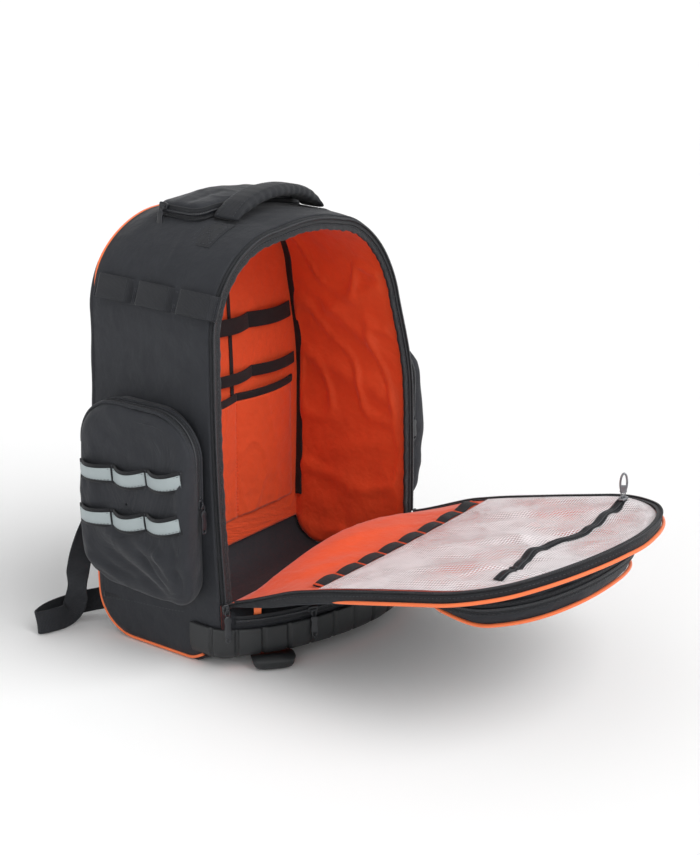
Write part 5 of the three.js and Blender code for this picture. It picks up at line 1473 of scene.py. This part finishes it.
def make_flap(sizes):
    """The flap: outer panel, orange lining, black bound wall round its edge with the other half of the zip."""
    depth = sizes.wrinkle * 1000
    rows = flap_grid(0.2, lambda x, y: panel_top(x, y) + 0.4 * field(points(x, y, 0 * x), 60, 95))
    panel = Maker().grid(rows).build("flap_outer_cloth", ["cloth"], "cloth", ["flap_panel"])
    give_wall(panel, 1.8)
    inset = RIM_WALL + 2 * GAP
    rows = flap_grid(inset, lambda x, y: dressed_lining(x, y, depth), count=150, across=121)
    maker = Maker().grid(rows)
    lining = maker.build("flap_lining_cloth", ["lining"], "orange", ["flap_lining"])
    give_wall(lining, 1.2)
    plan_line = flap_outline(0, 700)
    y = plan_line[:, 1]
    top, foot = edge_z(y), edge_z(y) - rim_high(y)
    along = unit(np.gradient(plan_line, axis=0))
    out = np.stack([along[:, 1], -along[:, 0]], -1)
    out = out * np.sign((out * (plan_line - [0, -240])).sum(-1, keepdims=True))
    far = far_along(plan_line)
    ripple = 0.35 * np.sin(far / 9 + 2 * np.sin(far / 47)) + 0.3 * np.sin(far / 23)
    tall = (top - foot)[:, None]
    section = np.array([
        (-3.0, 0.0), (-1.5, -0.02), (-0.2, 0.04), (0.25, 0.3), (0.5, 0.55), (0.1, 0.9), (-0.5, 1.0), (-2.4, 1.04),
        (-3.6, 1.03), (-3.5, 0.97), (-3.1, 0.8), (-3.0, 0.4),
    ])
    off = section[None, :, 0] + 0.25 * ripple[:, None] * (section[None, :, 1] > 0.2)
    high = foot[:, None] + section[None, :, 1] * tall
    flat = plan_line[:, None] + out[:, None] * off[..., None]
    rows = rounded(np.concatenate([flat, high[..., None]], -1), 1)
    wall = Maker().grid(rows, closed=True, caps=True)
    wall.build("flap_binding", ["binding"], "cloth", ["flap_rim"])
    zips = Maker()
    line = np.concatenate([plan_line - out * 2.2, (top + 1.0)[:, None]], -1)[6:-6]
    side = np.concatenate([out, 0 * out[:, :1]], -1)[6:-6]
    strap(zips, line, 6.4, 0.9, side)
    coil(zips, line + side * 2.0 + Z * 1.1, side, 2.6, 2.0)
    face = np.concatenate([plan_line + out * 0.55, (foot + (top - foot) * 0.72)[:, None]], -1)[40:-40]
    stitch(zips, face, side[34:-34], 2)
    zips.build("flap_zip", ["zip_tape", "coil", "thread"], "zip", ["flap_zipper"])
    cord = Maker()
    line = flap_outline(-PIPING - 0.4, 640)
    tuck = 1 - ease(0, 90, -170 - line[:, 1])
    line[:, 0] -= np.sign(line[:, 0]) * 5.5 * tuck
    height = edge_z(line[:, 1]) - rim_high(line[:, 1]) + PIPING - 1.2 * tuck
    tube(cord, np.concatenate([line, height[:, None]], -1)[16:-16], PIPING, side=Z)
    cord.build("flap_piping_cord", ["piping"], "piping", ["flap_piping"])


def make_flap_loops(sizes):
    """Elastic band across the flap, sewn into eight loops with orange bar tacks."""
    loops, last = FLAP_LOOPS["count"], 479
    k = np.linspace(0, 1, last + 1)
    x = FLAP_LOOPS["half"] * (2 * k - 1)
    y = FLAP_LOOPS["y"] + 0 * x
    lift = 1.8 + 3.0 * fullness(k, loops)
    floor = dressed_lining(x, y, sizes.wrinkle * 1000)
    line = points(x, y, np.maximum(floor, lining_top(x, y)) + lift)
    maker = Maker()
    strap(maker, line, FLAP_LOOPS["high"], 1.2, Y)
    for joint in range(loops + 1):
        i = int(np.clip(joint / loops * last, 3, last - 3))
        for off in (-1.0, 1.0):
            bar = line[i] + [off, 0, 0.9] + Y * np.linspace(-6.2, 6.2, 16)[:, None]
            stitch(maker, bar, Z, 1, long=2.0, pitch=1.7, radius=0.55)
    maker.build("flap_loops", ["elastic", "thread_orange"], "webbing", ["flap_loop_band"])


def mesh_top(x, y):
    """Top of the netting: the lining's height and a low fullness between its band and its zip."""
    k = np.clip((MESH["from"] - y) / (MESH["from"] - MESH["zip"]), 0, 1)
    full = np.sin(math.pi * k) * np.cos(math.pi / 2 * np.clip(np.abs(x) / FLAP_HALF, 0, 1))
    return lining_top(x, y) + 1.8 + MESH["puff"] * np.maximum(0, full) + MESH["thick"]


def zip_wander(x):
    """How far the netting's zip wanders from its straight line across the flap."""
    px = (-128, -115, -97, -75, -56, -38, -22, -8, 13, 35, 60, 85, 107, 128)
    off = (-2, -3, -1, 4, 8, 10, 7, -3, -9, -11, -8, -3, -1, -2)
    wide = np.linspace(-12, 12, 7)
    return np.mean([np.interp(x + d, px, off) for d in wide], axis=0)


def dressed_mesh(x, y, depth):
    """Top of the netting with its gathers, fuller by the zip, and soft folds that cross it. It stays over the
    lining's own wrinkles."""
    at = points(x, y, 0 * x)
    near = np.exp(-(((y - MESH["zip"]) / 34) ** 2))
    edge = ease(0, 22, flap_half(y, 8) - np.abs(x)) * ease(0, 16, MESH["from"] - y)
    pull = 0.8 * field(at * [1, 0.45, 1], 42, 101) + 0.7 * creases(at * [1, 0.5, 1], 48, 103, 0.2)
    ridge = 3.8 * fold(x, y, (-60, -200), (10, -352), 11) + 2.8 * fold(x, y, (60, -216), (96, -330), 10)
    ridge = ridge + 2.6 * fold(x, y, (-120, -232), (-84, -340), 10) + 2.4 * fold(x, y, (20, -370), (-24, -352), 12)
    ridge = ridge + 2.2 * fold(x, y, (10, -190), (60, -300), 9) + 2.0 * fold(x, y, (120, -220), (140, -320), 9)
    height = mesh_top(x, y) + edge * (depth * (1.5 + 1.4 * near) * pull + ridge) + edge * 1.2
    return np.maximum(height, dressed_lining(x, y, depth) + 1.1)


def make_netting(sizes):
    """White netting over the far part of the flap in two parts, gathered along the zip between them."""
    depth = sizes.wrinkle * 1000
    top = flap_grid(MESH["inset"], lambda x, y: dressed_mesh(x, y, depth), MESH["from"], MESH["zip"], 90, 121)
    share = ease(0, 1, np.linspace(0, 1, 90))[:, None]
    shift = zip_wander(top[..., 0]) * share
    top[..., 1] += shift
    top[..., 2] = dressed_mesh(top[..., 0], top[..., 1], depth)
    tip = flap_grid(MESH["inset"], lambda x, y: dressed_mesh(x, y, depth), MESH["zip"], FLAP_TIP, 60, 121)
    share = 1 - ease(0, 1, np.linspace(0, 0.8, 60))[:, None]
    tip[..., 1] += zip_wander(tip[..., 0]) * share
    tip[..., 2] = dressed_mesh(tip[..., 0], tip[..., 1], depth)
    main = Maker().grid(top).build("netting", ["netting"], "mesh", ["mesh_pocket"])
    end = Maker().grid(tip).build("netting_tip", ["netting"], "mesh", ["mesh_pocket_tip"])
    for piece in (main, end):
        give_wall(piece, 0.4)
    x = np.linspace(-MESH["zip_half"], MESH["zip_half"], 420)
    y = MESH["zip"] + zip_wander(x)
    line = points(x, y, dressed_mesh(x, y, depth) + 0.9)
    zips = Maker()
    strap(zips, line, 12, 0.9, Y)
    coil(zips, line + Z * 0.9, Y, 3.6, 1.8)
    for off in (-4.4, 4.4):
        stitch(zips, line + [0, off, 0.6], Z, 2)
    zips.build("netting_zip", ["zip_tape", "coil", "thread"], "zip", ["mesh_zipper"])


# Pieces: box pocket under the flap


def box_outline(inset, count=420):
    """Closed plan of the outside pocket: a round tip and a rear edge with rounded corners, as (x, y)."""
    half, r = BOX["half"] - inset, BOX["round"] - inset
    a = np.linspace(0, math.pi / 2, 24)
    rear = np.stack([BOX["half"] - BOX["round"] + r * np.cos(a), BOX["rear"] - BOX["round"] + r * np.sin(a)], -1)
    turn = np.linspace(0, math.pi, 200)
    reach = BOX["straight"] - BOX["tip"] - inset
    power = 2 / BOX["power"]
    tip_x = -half * np.sign(np.cos(turn)) * np.abs(np.cos(turn)) ** power
    tip = np.stack([tip_x, BOX["straight"] - reach * np.sin(turn) ** power], -1)
    return even(np.concatenate([tip, rear, (rear * [-1, 1])[::-1]]), count, closed=True)


def box_top(y):
    """Height of the pocket's seam under the flap."""
    return edge_z(y) - RIM_HIGH - 2 - 3 * GAP


def box_share(y):
    """Share of the pocket's depth along it: shallow at the rear, where it leaves the flap, and full at the tip."""
    return mix(0.25, 0.84, ease(0, 1, (BOX["rear"] + 6 - y) / 82) ** 0.8)


def make_box_pocket(sizes):
    """Outside pocket under the far part of the flap: a full gusset with its zip, wrinkled below the seam, and a
    flat lower face edged with orange cord."""
    deep = BOX["deep"]
    table = ((0.5, 0), (-1.5, 4), (-3.2, 12), (-2.6, 21), (-2.0, 29), (0.2, 37), (3.0, 40.5), (9, 41.6), (30, 43.4))
    rows = []
    for inset, drop in curve(table, 44):
        xy = box_outline(inset)
        rows.append(points(xy[:, 0], xy[:, 1], box_top(xy[:, 1]) - drop * box_share(xy[:, 1])))
    middle = np.array([0, (BOX["rear"] + BOX["tip"]) / 2])
    edge = box_outline(30)
    for k in np.linspace(0, 0.985, 20)[1:]:
        xy = mix(edge, middle, k)
        rows.append(points(xy[:, 0], xy[:, 1], box_top(xy[:, 1]) - mix(43.4, 44.6, k) * box_share(xy[:, 1])))
    rows = np.array(rows)
    out = outward(rows, (0, -340, 120), closed=True)
    share = np.linspace(0, 1, len(rows))[:, None]
    far = lengths(rows, closed=True)[:, :-1, 0] * 1000
    pucker = np.sin(far / 5.5 + 2.5 * np.sin(far / 29)) * np.exp(-(((share - 0.09) / 0.06) ** 2))
    soft = 0.7 * field(rows, 60, 111) + 0.5 * creases(rows, 50, 113, 0.2)
    rows = rows + out * (sizes.wrinkle * 1000 * (0.9 * pucker + 1.1 * soft * ease(0.02, 0.2, share)))[..., None]
    maker = Maker().grid(rows, closed=True, flip=True)
    pocket = maker.build("box_pocket_cloth", ["cloth"], "cloth", ["flap_box_pocket"])
    give_wall(pocket, 1.6)

    def loop(inset, drop):
        xy = box_outline(inset)
        return np.concatenate([xy, (box_top(xy[:, 1]) - drop * box_share(xy[:, 1]))[:, None]], -1)

    cord = Maker()
    tube(cord, loop(-PIPING + 0.6, deep * 0.94), PIPING, side=Z, ring=True)
    cord.build("box_piping_cord", ["piping"], "piping", ["box_piping"])
    zips = Maker()
    line = loop(-4.2, deep * 0.44)
    strap(zips, line, 13, 0.9, Z, ring=True)
    chain = even(np.concatenate([line, line[:1]]), 420)
    out = chain - [0, -330, 0]
    out = unit(out * [1, 1, 0])
    coil(zips, chain + out * 1.0, Z, 3.4, 1.8)
    for off in (-4.8, 4.8):
        stitch(zips, chain + out * 0.6 + Z * off, out, 2)
    zips.build("box_zip", ["zip_tape", "coil", "thread"], "zip", ["box_zipper"])


# Pieces: lower front, pulls, tabs and straps


def make_front_zip(sizes):
    """Zip of the lower front pocket, and two folded orange tabs above it."""
    turns = np.linspace(-SILL_TURN * 0.94, SILL_TURN * 0.94, 300)
    px, py = plan(turns, FRONT_ZIP["inset"])
    line = even(points(px, py, FRONT_ZIP["z"]), 400)
    out = plan_out(line)
    zips = Maker()
    strap(zips, line, 11, 0.9, Z)
    coil(zips, line + out * 1.0, Z, 3.2, 1.7)
    zips.build("front_zip", ["zip_tape", "coil"], "zip", ["front_zipper"])
    tabs = Maker()
    for turn in (-1.06, -0.6):
        x0, y0 = plan(np.array([turn]), 10.4)
        x1, y1 = plan(np.array([turn + 0.02]), 10.4)
        way = unit(np.array([x1[0] - x0[0], y1[0] - y0[0], 0]))
        face = np.array([way[1], -way[0], 0])
        foot = np.array([x0[0], y0[0], 58.4]) + face * 1.2
        slab(tabs, foot, [face[0] * 0.14, face[1] * 0.14, 1], face, 10.5, 8, 2.2, rings=6)
    tabs.build("orange_tabs", ["piping"], "piping", ["orange_tab_left", "orange_tab_front"])


def make_pulls(sizes):
    """Zip sliders with their moulded pulls, and the plain steel pull that stands up on the netting's zip."""
    pulls = Maker()
    for side in (-1, 1):
        at = (side * (HALF_WIDTH + 1.5), FRONT_Y - 6.5, HINGE_Z + 2)
        slider(pulls, at, (0, 0.1, 1), (side * 0.45, -1, 0), (side * 0.3, -0.28, -1), long=31, wide=8.6)
        x = side * (POCKET_BASE + SIDE_POCKET["deep"] * 0.45)
        y = SIDE_POCKET["front"] - 5.4 - SIDE_POCKET["lean"] * 0.5
        slider(pulls, (x, y, 184), (0, 0.05, 1), (0, -1, 0), (0.0, -0.03, -1), long=29, wide=8)
    x, y = plan(np.array([-0.62]), 3.2)
    slider(pulls, (x[0], y[0], FRONT_ZIP["z"]), (0.8, -0.6, 0), (-0.6, -0.8, 0), (-0.1, -0.12, -1), long=27)
    x = -TOP_POCKET["half"] - 1.5
    slider(pulls, (x, 70, pocket_wall(x, 70, 0.6) + 3), (0, 1, 0.1), (-1, 0, 0.2), (-0.35, -0.1, -1), long=25)
    nodes = ["main_pull_left", "main_pull_right", "side_pocket_left_pull", "side_pocket_right_pull"]
    pulls.build("zip_pulls", ["pull"], "zip", [*nodes, "front_pull", "top_pull"])
    metal = Maker()
    x = 122.0
    y = MESH["zip"] + float(zip_wander(x))
    z = float(dressed_mesh(np.array(x), np.array(MESH["zip"]), sizes.wrinkle * 1000)) + 2.6
    slab(metal, (x - 5, y, z + 1.0), X, Z, 11, 8.4, 3.2, [(0, 0.72), (0.45, 1), (1, 0.86)])
    slab(metal, (x - 3.6, y, z + 3.6), X, Z, 7.2, 2.4, 1.6, rings=4)
    face = unit(np.array([0.8, 0.6, 0]))
    torus(metal, (x, y, z + 6.0), face, 2.2, 0.7, (0, 0, 1, 1.3))
    torus(metal, (x, y, z + 18.0), face, 3.5, 1.15, (0, 0, 1, 3.0))
    slab(metal, (x, y, z + 7.6), Z, face, 8.0, 7.4, 1.8, rings=4)
    metal.build("steel_pull", ["steel"], "steel", ["mesh_zip_pull"])


def make_straps(sizes):
    """Padded shoulder straps with bound edges, and their webbing tails, which hang and loop back to the bag."""
    for name, side in (("left", -1), ("right", 1)):
        line = curve([
            (side * (STRAP["x"] - 14), BACK_FACE + STRAP["thick"] / 2 + 1.5, STRAP["top"]),
            (side * STRAP["x"], BACK_FACE + STRAP["thick"] / 2 + 9, mix(STRAP["top"], STRAP["low"], 0.25)),
            (side * (STRAP["x"] + 14), BACK_FACE + STRAP["thick"] / 2 + 12, mix(STRAP["top"], STRAP["low"], 0.6)),
            (side * (STRAP["x"] + 26), BACK_FACE + STRAP["thick"] / 2 + 4, STRAP["low"]),
        ], 120)
        k = np.linspace(0, 1, len(line))
        section = soft_section(STRAP["wide"], STRAP["thick"], 44)[None]
        taper = 1 - 0.3 * ease(0.86, 1, k) - 0.15 * (1 - ease(0, 0.1, k))
        quilt = 1 + 0.05 * np.sin(k * 58)
        section = section * np.stack([taper, quilt], -1)[:, None]
        maker = Maker().grid(carry(line, section, X), closed=True, caps=True)
        for edge in (-1, 1):
            rim = line + X * (edge * STRAP["wide"] / 2 * taper)[:, None]
            tube(maker, rim, 1.7, side=(0.1, 1, 0.1), finish=1, count=10)
            seam = line + X * (edge * (STRAP["wide"] / 2 * taper - 5))[:, None] + [0, STRAP["thick"] * 0.42, 0]
            stitch(maker, seam, Y, 2)
        pad = maker.build(
            "strap_pad_" + name, ["pad_cloth", "binding", "thread"], "cloth", ["shoulder_strap_" + name]
        )
        tail = curve([
            (side * (STRAP["x"] + 30), BACK_FACE + 10, STRAP["low"] - 16.8),
            (side * 134, BACK_FACE + 12, 132),
            (side * 163, BACK_FACE + 12, 100),
            (side * 178, BACK_FACE + 12, 62),
            (side * 182, BACK_FACE + 13, 28),
            (side * 190, BACK_FACE + 15, 15),
            (side * 215, BACK_FACE + 18, 14),
            (side * 228, BACK_FACE + 26, 14),
            (side * 206, BACK_FACE + 34, 14),
            (side * 168, BACK_FACE + 30, 14),
            (side * 140, BACK_FACE + 8, 18),
            (side * 128, BACK_Y - 4.1, 24),
        ], 260)
        tails = Maker()
        strap(tails, tail, WEBBING, 1.8, (0, 0.25, 1))
        tails.build("strap_tail_" + name, ["webbing"], "webbing", ["strap_webbing_" + name])


# The stage


def place(name, data, at, way):
    """Puts a camera or light at a place, in metres, facing along a direction."""
    made = bpy.data.objects.new(name, data)
    bpy.context.scene.collection.objects.link(made)
    made.location = at
    made.rotation_mode = "QUATERNION"
    made.rotation_quaternion = Vector(way).to_track_quat("-Z", "Y")
    return made


def make_stage(sizes):
    """Camera at the photograph's angle, a pale floor that turns up far away, soft lights and a plain room."""
    scene = bpy.context.scene
    azimuth, elevation = math.radians(CAMERA["azimuth"]), math.radians(CAMERA["elevation"])
    back = np.array([
        math.sin(azimuth) * math.cos(elevation),
        -math.cos(azimuth) * math.cos(elevation),
        math.sin(elevation),
    ])
    data = bpy.data.cameras.new("camera")
    data.lens, data.sensor_width, data.sensor_fit = LENS, 36, "AUTO"
    data.shift_x, data.shift_y = SHIFT
    at = (np.array(CAMERA["target"]) + back * CAMERA["distance"]) / 1000
    scene.camera = place("camera", data, at, -back)
    floor_mesh = bpy.data.meshes.new("floor")
    flat, sides = FLOOR["flat"], FLOOR["sides"]
    turn = np.linspace(0, 2 * math.pi, sides, endpoint=False)[None]
    wall = flat + FLOOR["reach"] * np.sin(np.linspace(0, math.pi / 2, 20))
    far = np.concatenate([[0.001, 3.0, 8.0], wall])[:, None]
    high = FLOOR["rise"] * (1 - np.sqrt(1 - (np.clip((far - flat) / FLOOR["reach"], 0, 0.999)) ** 2))
    bowl = points(far * np.cos(turn), far * np.sin(turn), high)
    ids = np.arange(bowl.shape[0] * sides).reshape(-1, sides)
    after = np.roll(ids, -1, 1)
    faces = np.stack([ids[:-1], after[:-1], after[1:], ids[1:]], -1).reshape(-1, 4)[:, ::-1]
    floor_mesh.from_pydata(bowl.reshape(-1, 3).tolist(), [], faces.tolist())
    made, main = shader("floor")[:2]
    settings(main, base_color=(*[FLOOR["shade"]] * 3, 1), roughness=0.9, ior_level=0.1)
    floor_mesh.materials.append(made)
    floor_mesh.polygons.foreach_set("use_smooth", [True] * len(floor_mesh.polygons))
    floor = bpy.data.objects.new("floor", floor_mesh)
    floor.location = (0, 0, -FLOOR["drop"])
    scene.collection.objects.link(floor)
    world = bpy.data.worlds.new("studio")
    scene.world = world
    world.use_nodes = True
    world.node_tree.nodes["Background"].inputs[0].default_value = (1, 1, 1, 1)
    world.node_tree.nodes["Background"].inputs[1].default_value = sizes.room_light
    sun = bpy.data.lights.new("key_light", "SUN")
    sun.energy, sun.angle = sizes.key_light, KEY_WIDTH
    place("key_light", sun, (0, 0, 0), KEY_WAY)
    lamp = bpy.data.lights.new("side_light", "AREA")
    lamp.energy, lamp.shape, lamp.size = sizes.side_light, "SQUARE", SIDE_LIGHT["size"]
    place("side_light", lamp, SIDE_LIGHT["at"], np.subtract(SIDE_LIGHT["aim"], SIDE_LIGHT["at"]))
    scene.view_settings.view_transform = "Standard"


# The add-on: what can be set, what can be made, and the panel that lists it


def length(name, description, default, low=0.0):
    """A length that the panel shows, in metres."""
    return bpy.props.FloatProperty(name=name, description=description, default=default, min=low, unit="LENGTH")


def colour(name, description, default):
    """A colour that the panel shows, from its numbers on screen."""
    return bpy.props.FloatVectorProperty(
        name=name, description=description, default=srgb(default), subtype="COLOR", min=0, max=1
    )


def strength(name, description, default, subtype="NONE"):
    """A light's strength that the panel shows."""
    return bpy.props.FloatProperty(name=name, description=description, default=default, min=0, subtype=subtype)


class BackpackSizes(bpy.types.PropertyGroup):
    """Sizes, colours and light that every piece is made with."""

    thread: length("Thread", "Distance between the cloth's threads", 0.0009, 0.0003)
    wrinkle: length("Wrinkle", "Height of the soft folds in the cloth", 0.0012)
    net_hole: length("Net hole", "Distance between the netting's holes", 0.0031, 0.001)
    black: colour("Black", "Colour of the body cloth and webbing", (36, 38, 43))
    orange: colour("Orange", "Colour of the lining", (236, 86, 40))
    trim: colour("Trim", "Colour of the corded piping and tabs", (250, 122, 70))
    net: colour("Netting", "Colour of the netting", (246, 240, 242))
    rubber: colour("Rubber", "Colour of the moulded base", (32, 34, 36))
    tape: colour("Tape", "Colour of the reflective strips", (160, 170, 172))
    key_light: strength("Key light", "Strength of the soft main light", 2.3)
    side_light: strength("Side light", "Power of the light on the left side", 7, "POWER")
    room_light: strength("Room light", "Brightness of the plain room", 0.52)


class PieceMaker:
    """What all the operators share: each runs its functions with the sizes from the panel."""

    bl_options = {"REGISTER", "UNDO"}
    makes = ()

    def execute(self, context):
        for make in self.makes:
            make(context.scene.backpack_sizes)
        return {"FINISHED"}


class BACKPACK_OT_finishes(PieceMaker, bpy.types.Operator):
    """Makes the cloth, webbing, netting, rubber and metal finishes"""

    bl_idname = "backpack.finishes"
    bl_label = "Finishes"
    makes = (make_finishes,)


class BACKPACK_OT_body(PieceMaker, bpy.types.Operator):
    """Makes the outer cloth, the underside and the padded back"""

    bl_idname = "backpack.body"
    bl_label = "Body"
    makes = (make_shell, make_underside, make_back_pad, make_back_piping)


class BACKPACK_OT_lining(PieceMaker, bpy.types.Operator):
    """Makes the orange lining and the pockets and bands on the back"""

    bl_idname = "backpack.lining"
    bl_label = "Lining"
    makes = (make_lining, make_organiser)


class BACKPACK_OT_base(PieceMaker, bpy.types.Operator):
    """Makes the moulded base, the lower front zip and the orange tabs"""

    bl_idname = "backpack.base"
    bl_label = "Base"
    makes = (make_base, make_front_zip)


class BACKPACK_OT_opening(PieceMaker, bpy.types.Operator):
    """Makes the bound edge of the opening and its zip"""

    bl_idname = "backpack.opening"
    bl_label = "Opening"
    makes = (make_opening,)


class BACKPACK_OT_top(PieceMaker, bpy.types.Operator):
    """Makes the top pocket and the carry handle"""

    bl_idname = "backpack.top"
    bl_label = "Top"
    makes = (make_top, make_handle)


class BACKPACK_OT_sides(PieceMaker, bpy.types.Operator):
    """Makes the side pockets, the tool loops and the webbing ladder"""

    bl_idname = "backpack.sides"
    bl_label = "Sides"
    makes = (make_ladder, make_side_pockets, make_tool_loops)


class BACKPACK_OT_flap(PieceMaker, bpy.types.Operator):
    """Makes the open flap with its loops, netting and outside pocket"""

    bl_idname = "backpack.flap"
    bl_label = "Flap"
    makes = (make_flap, make_flap_loops, make_netting, make_box_pocket)


class BACKPACK_OT_straps(PieceMaker, bpy.types.Operator):
    """Makes the shoulder straps and all the zip pulls"""

    bl_idname = "backpack.straps"
    bl_label = "Straps and pulls"
    makes = (make_straps, make_pulls)


class BACKPACK_OT_stage(PieceMaker, bpy.types.Operator):
    """Makes the camera, the floor and the lights"""

    bl_idname = "backpack.stage"
    bl_label = "Stage"
    makes = (make_stage,)


OPERATORS = (
    BACKPACK_OT_finishes,
    BACKPACK_OT_body,
    BACKPACK_OT_lining,
    BACKPACK_OT_base,
    BACKPACK_OT_opening,
    BACKPACK_OT_top,
    BACKPACK_OT_sides,
    BACKPACK_OT_flap,
    BACKPACK_OT_straps,
    BACKPACK_OT_stage,
)


class BACKPACK_PT_panel(bpy.types.Panel):
    """Lists the sizes and the operators in the sidebar"""

    bl_label = "Tool backpack"
    bl_space_type = "VIEW_3D"
    bl_region_type = "UI"
    bl_category = "Backpack"

    def draw(self, context):
        sizes = context.scene.backpack_sizes
        for name in BackpackSizes.__annotations__:
            self.layout.prop(sizes, name)
        for operator in OPERATORS:
            self.layout.operator(operator.bl_idname)


def register():
    for made in (BackpackSizes, *OPERATORS, BACKPACK_PT_panel):
        bpy.utils.register_class(made)
    bpy.types.Scene.backpack_sizes = bpy.props.PointerProperty(type=BackpackSizes)


def unregister():
    del bpy.types.Scene.backpack_sizes
    for made in (BACKPACK_PT_panel, *reversed(OPERATORS), BackpackSizes):
        bpy.utils.unregister_class(made)


def main():
    """Makes every piece in order."""
    register()
    for operator in OPERATORS:
        getattr(bpy.ops.backpack, operator.bl_idname.split(".")[1])()
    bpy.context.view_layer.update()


if __name__ == "__main__":
    main()
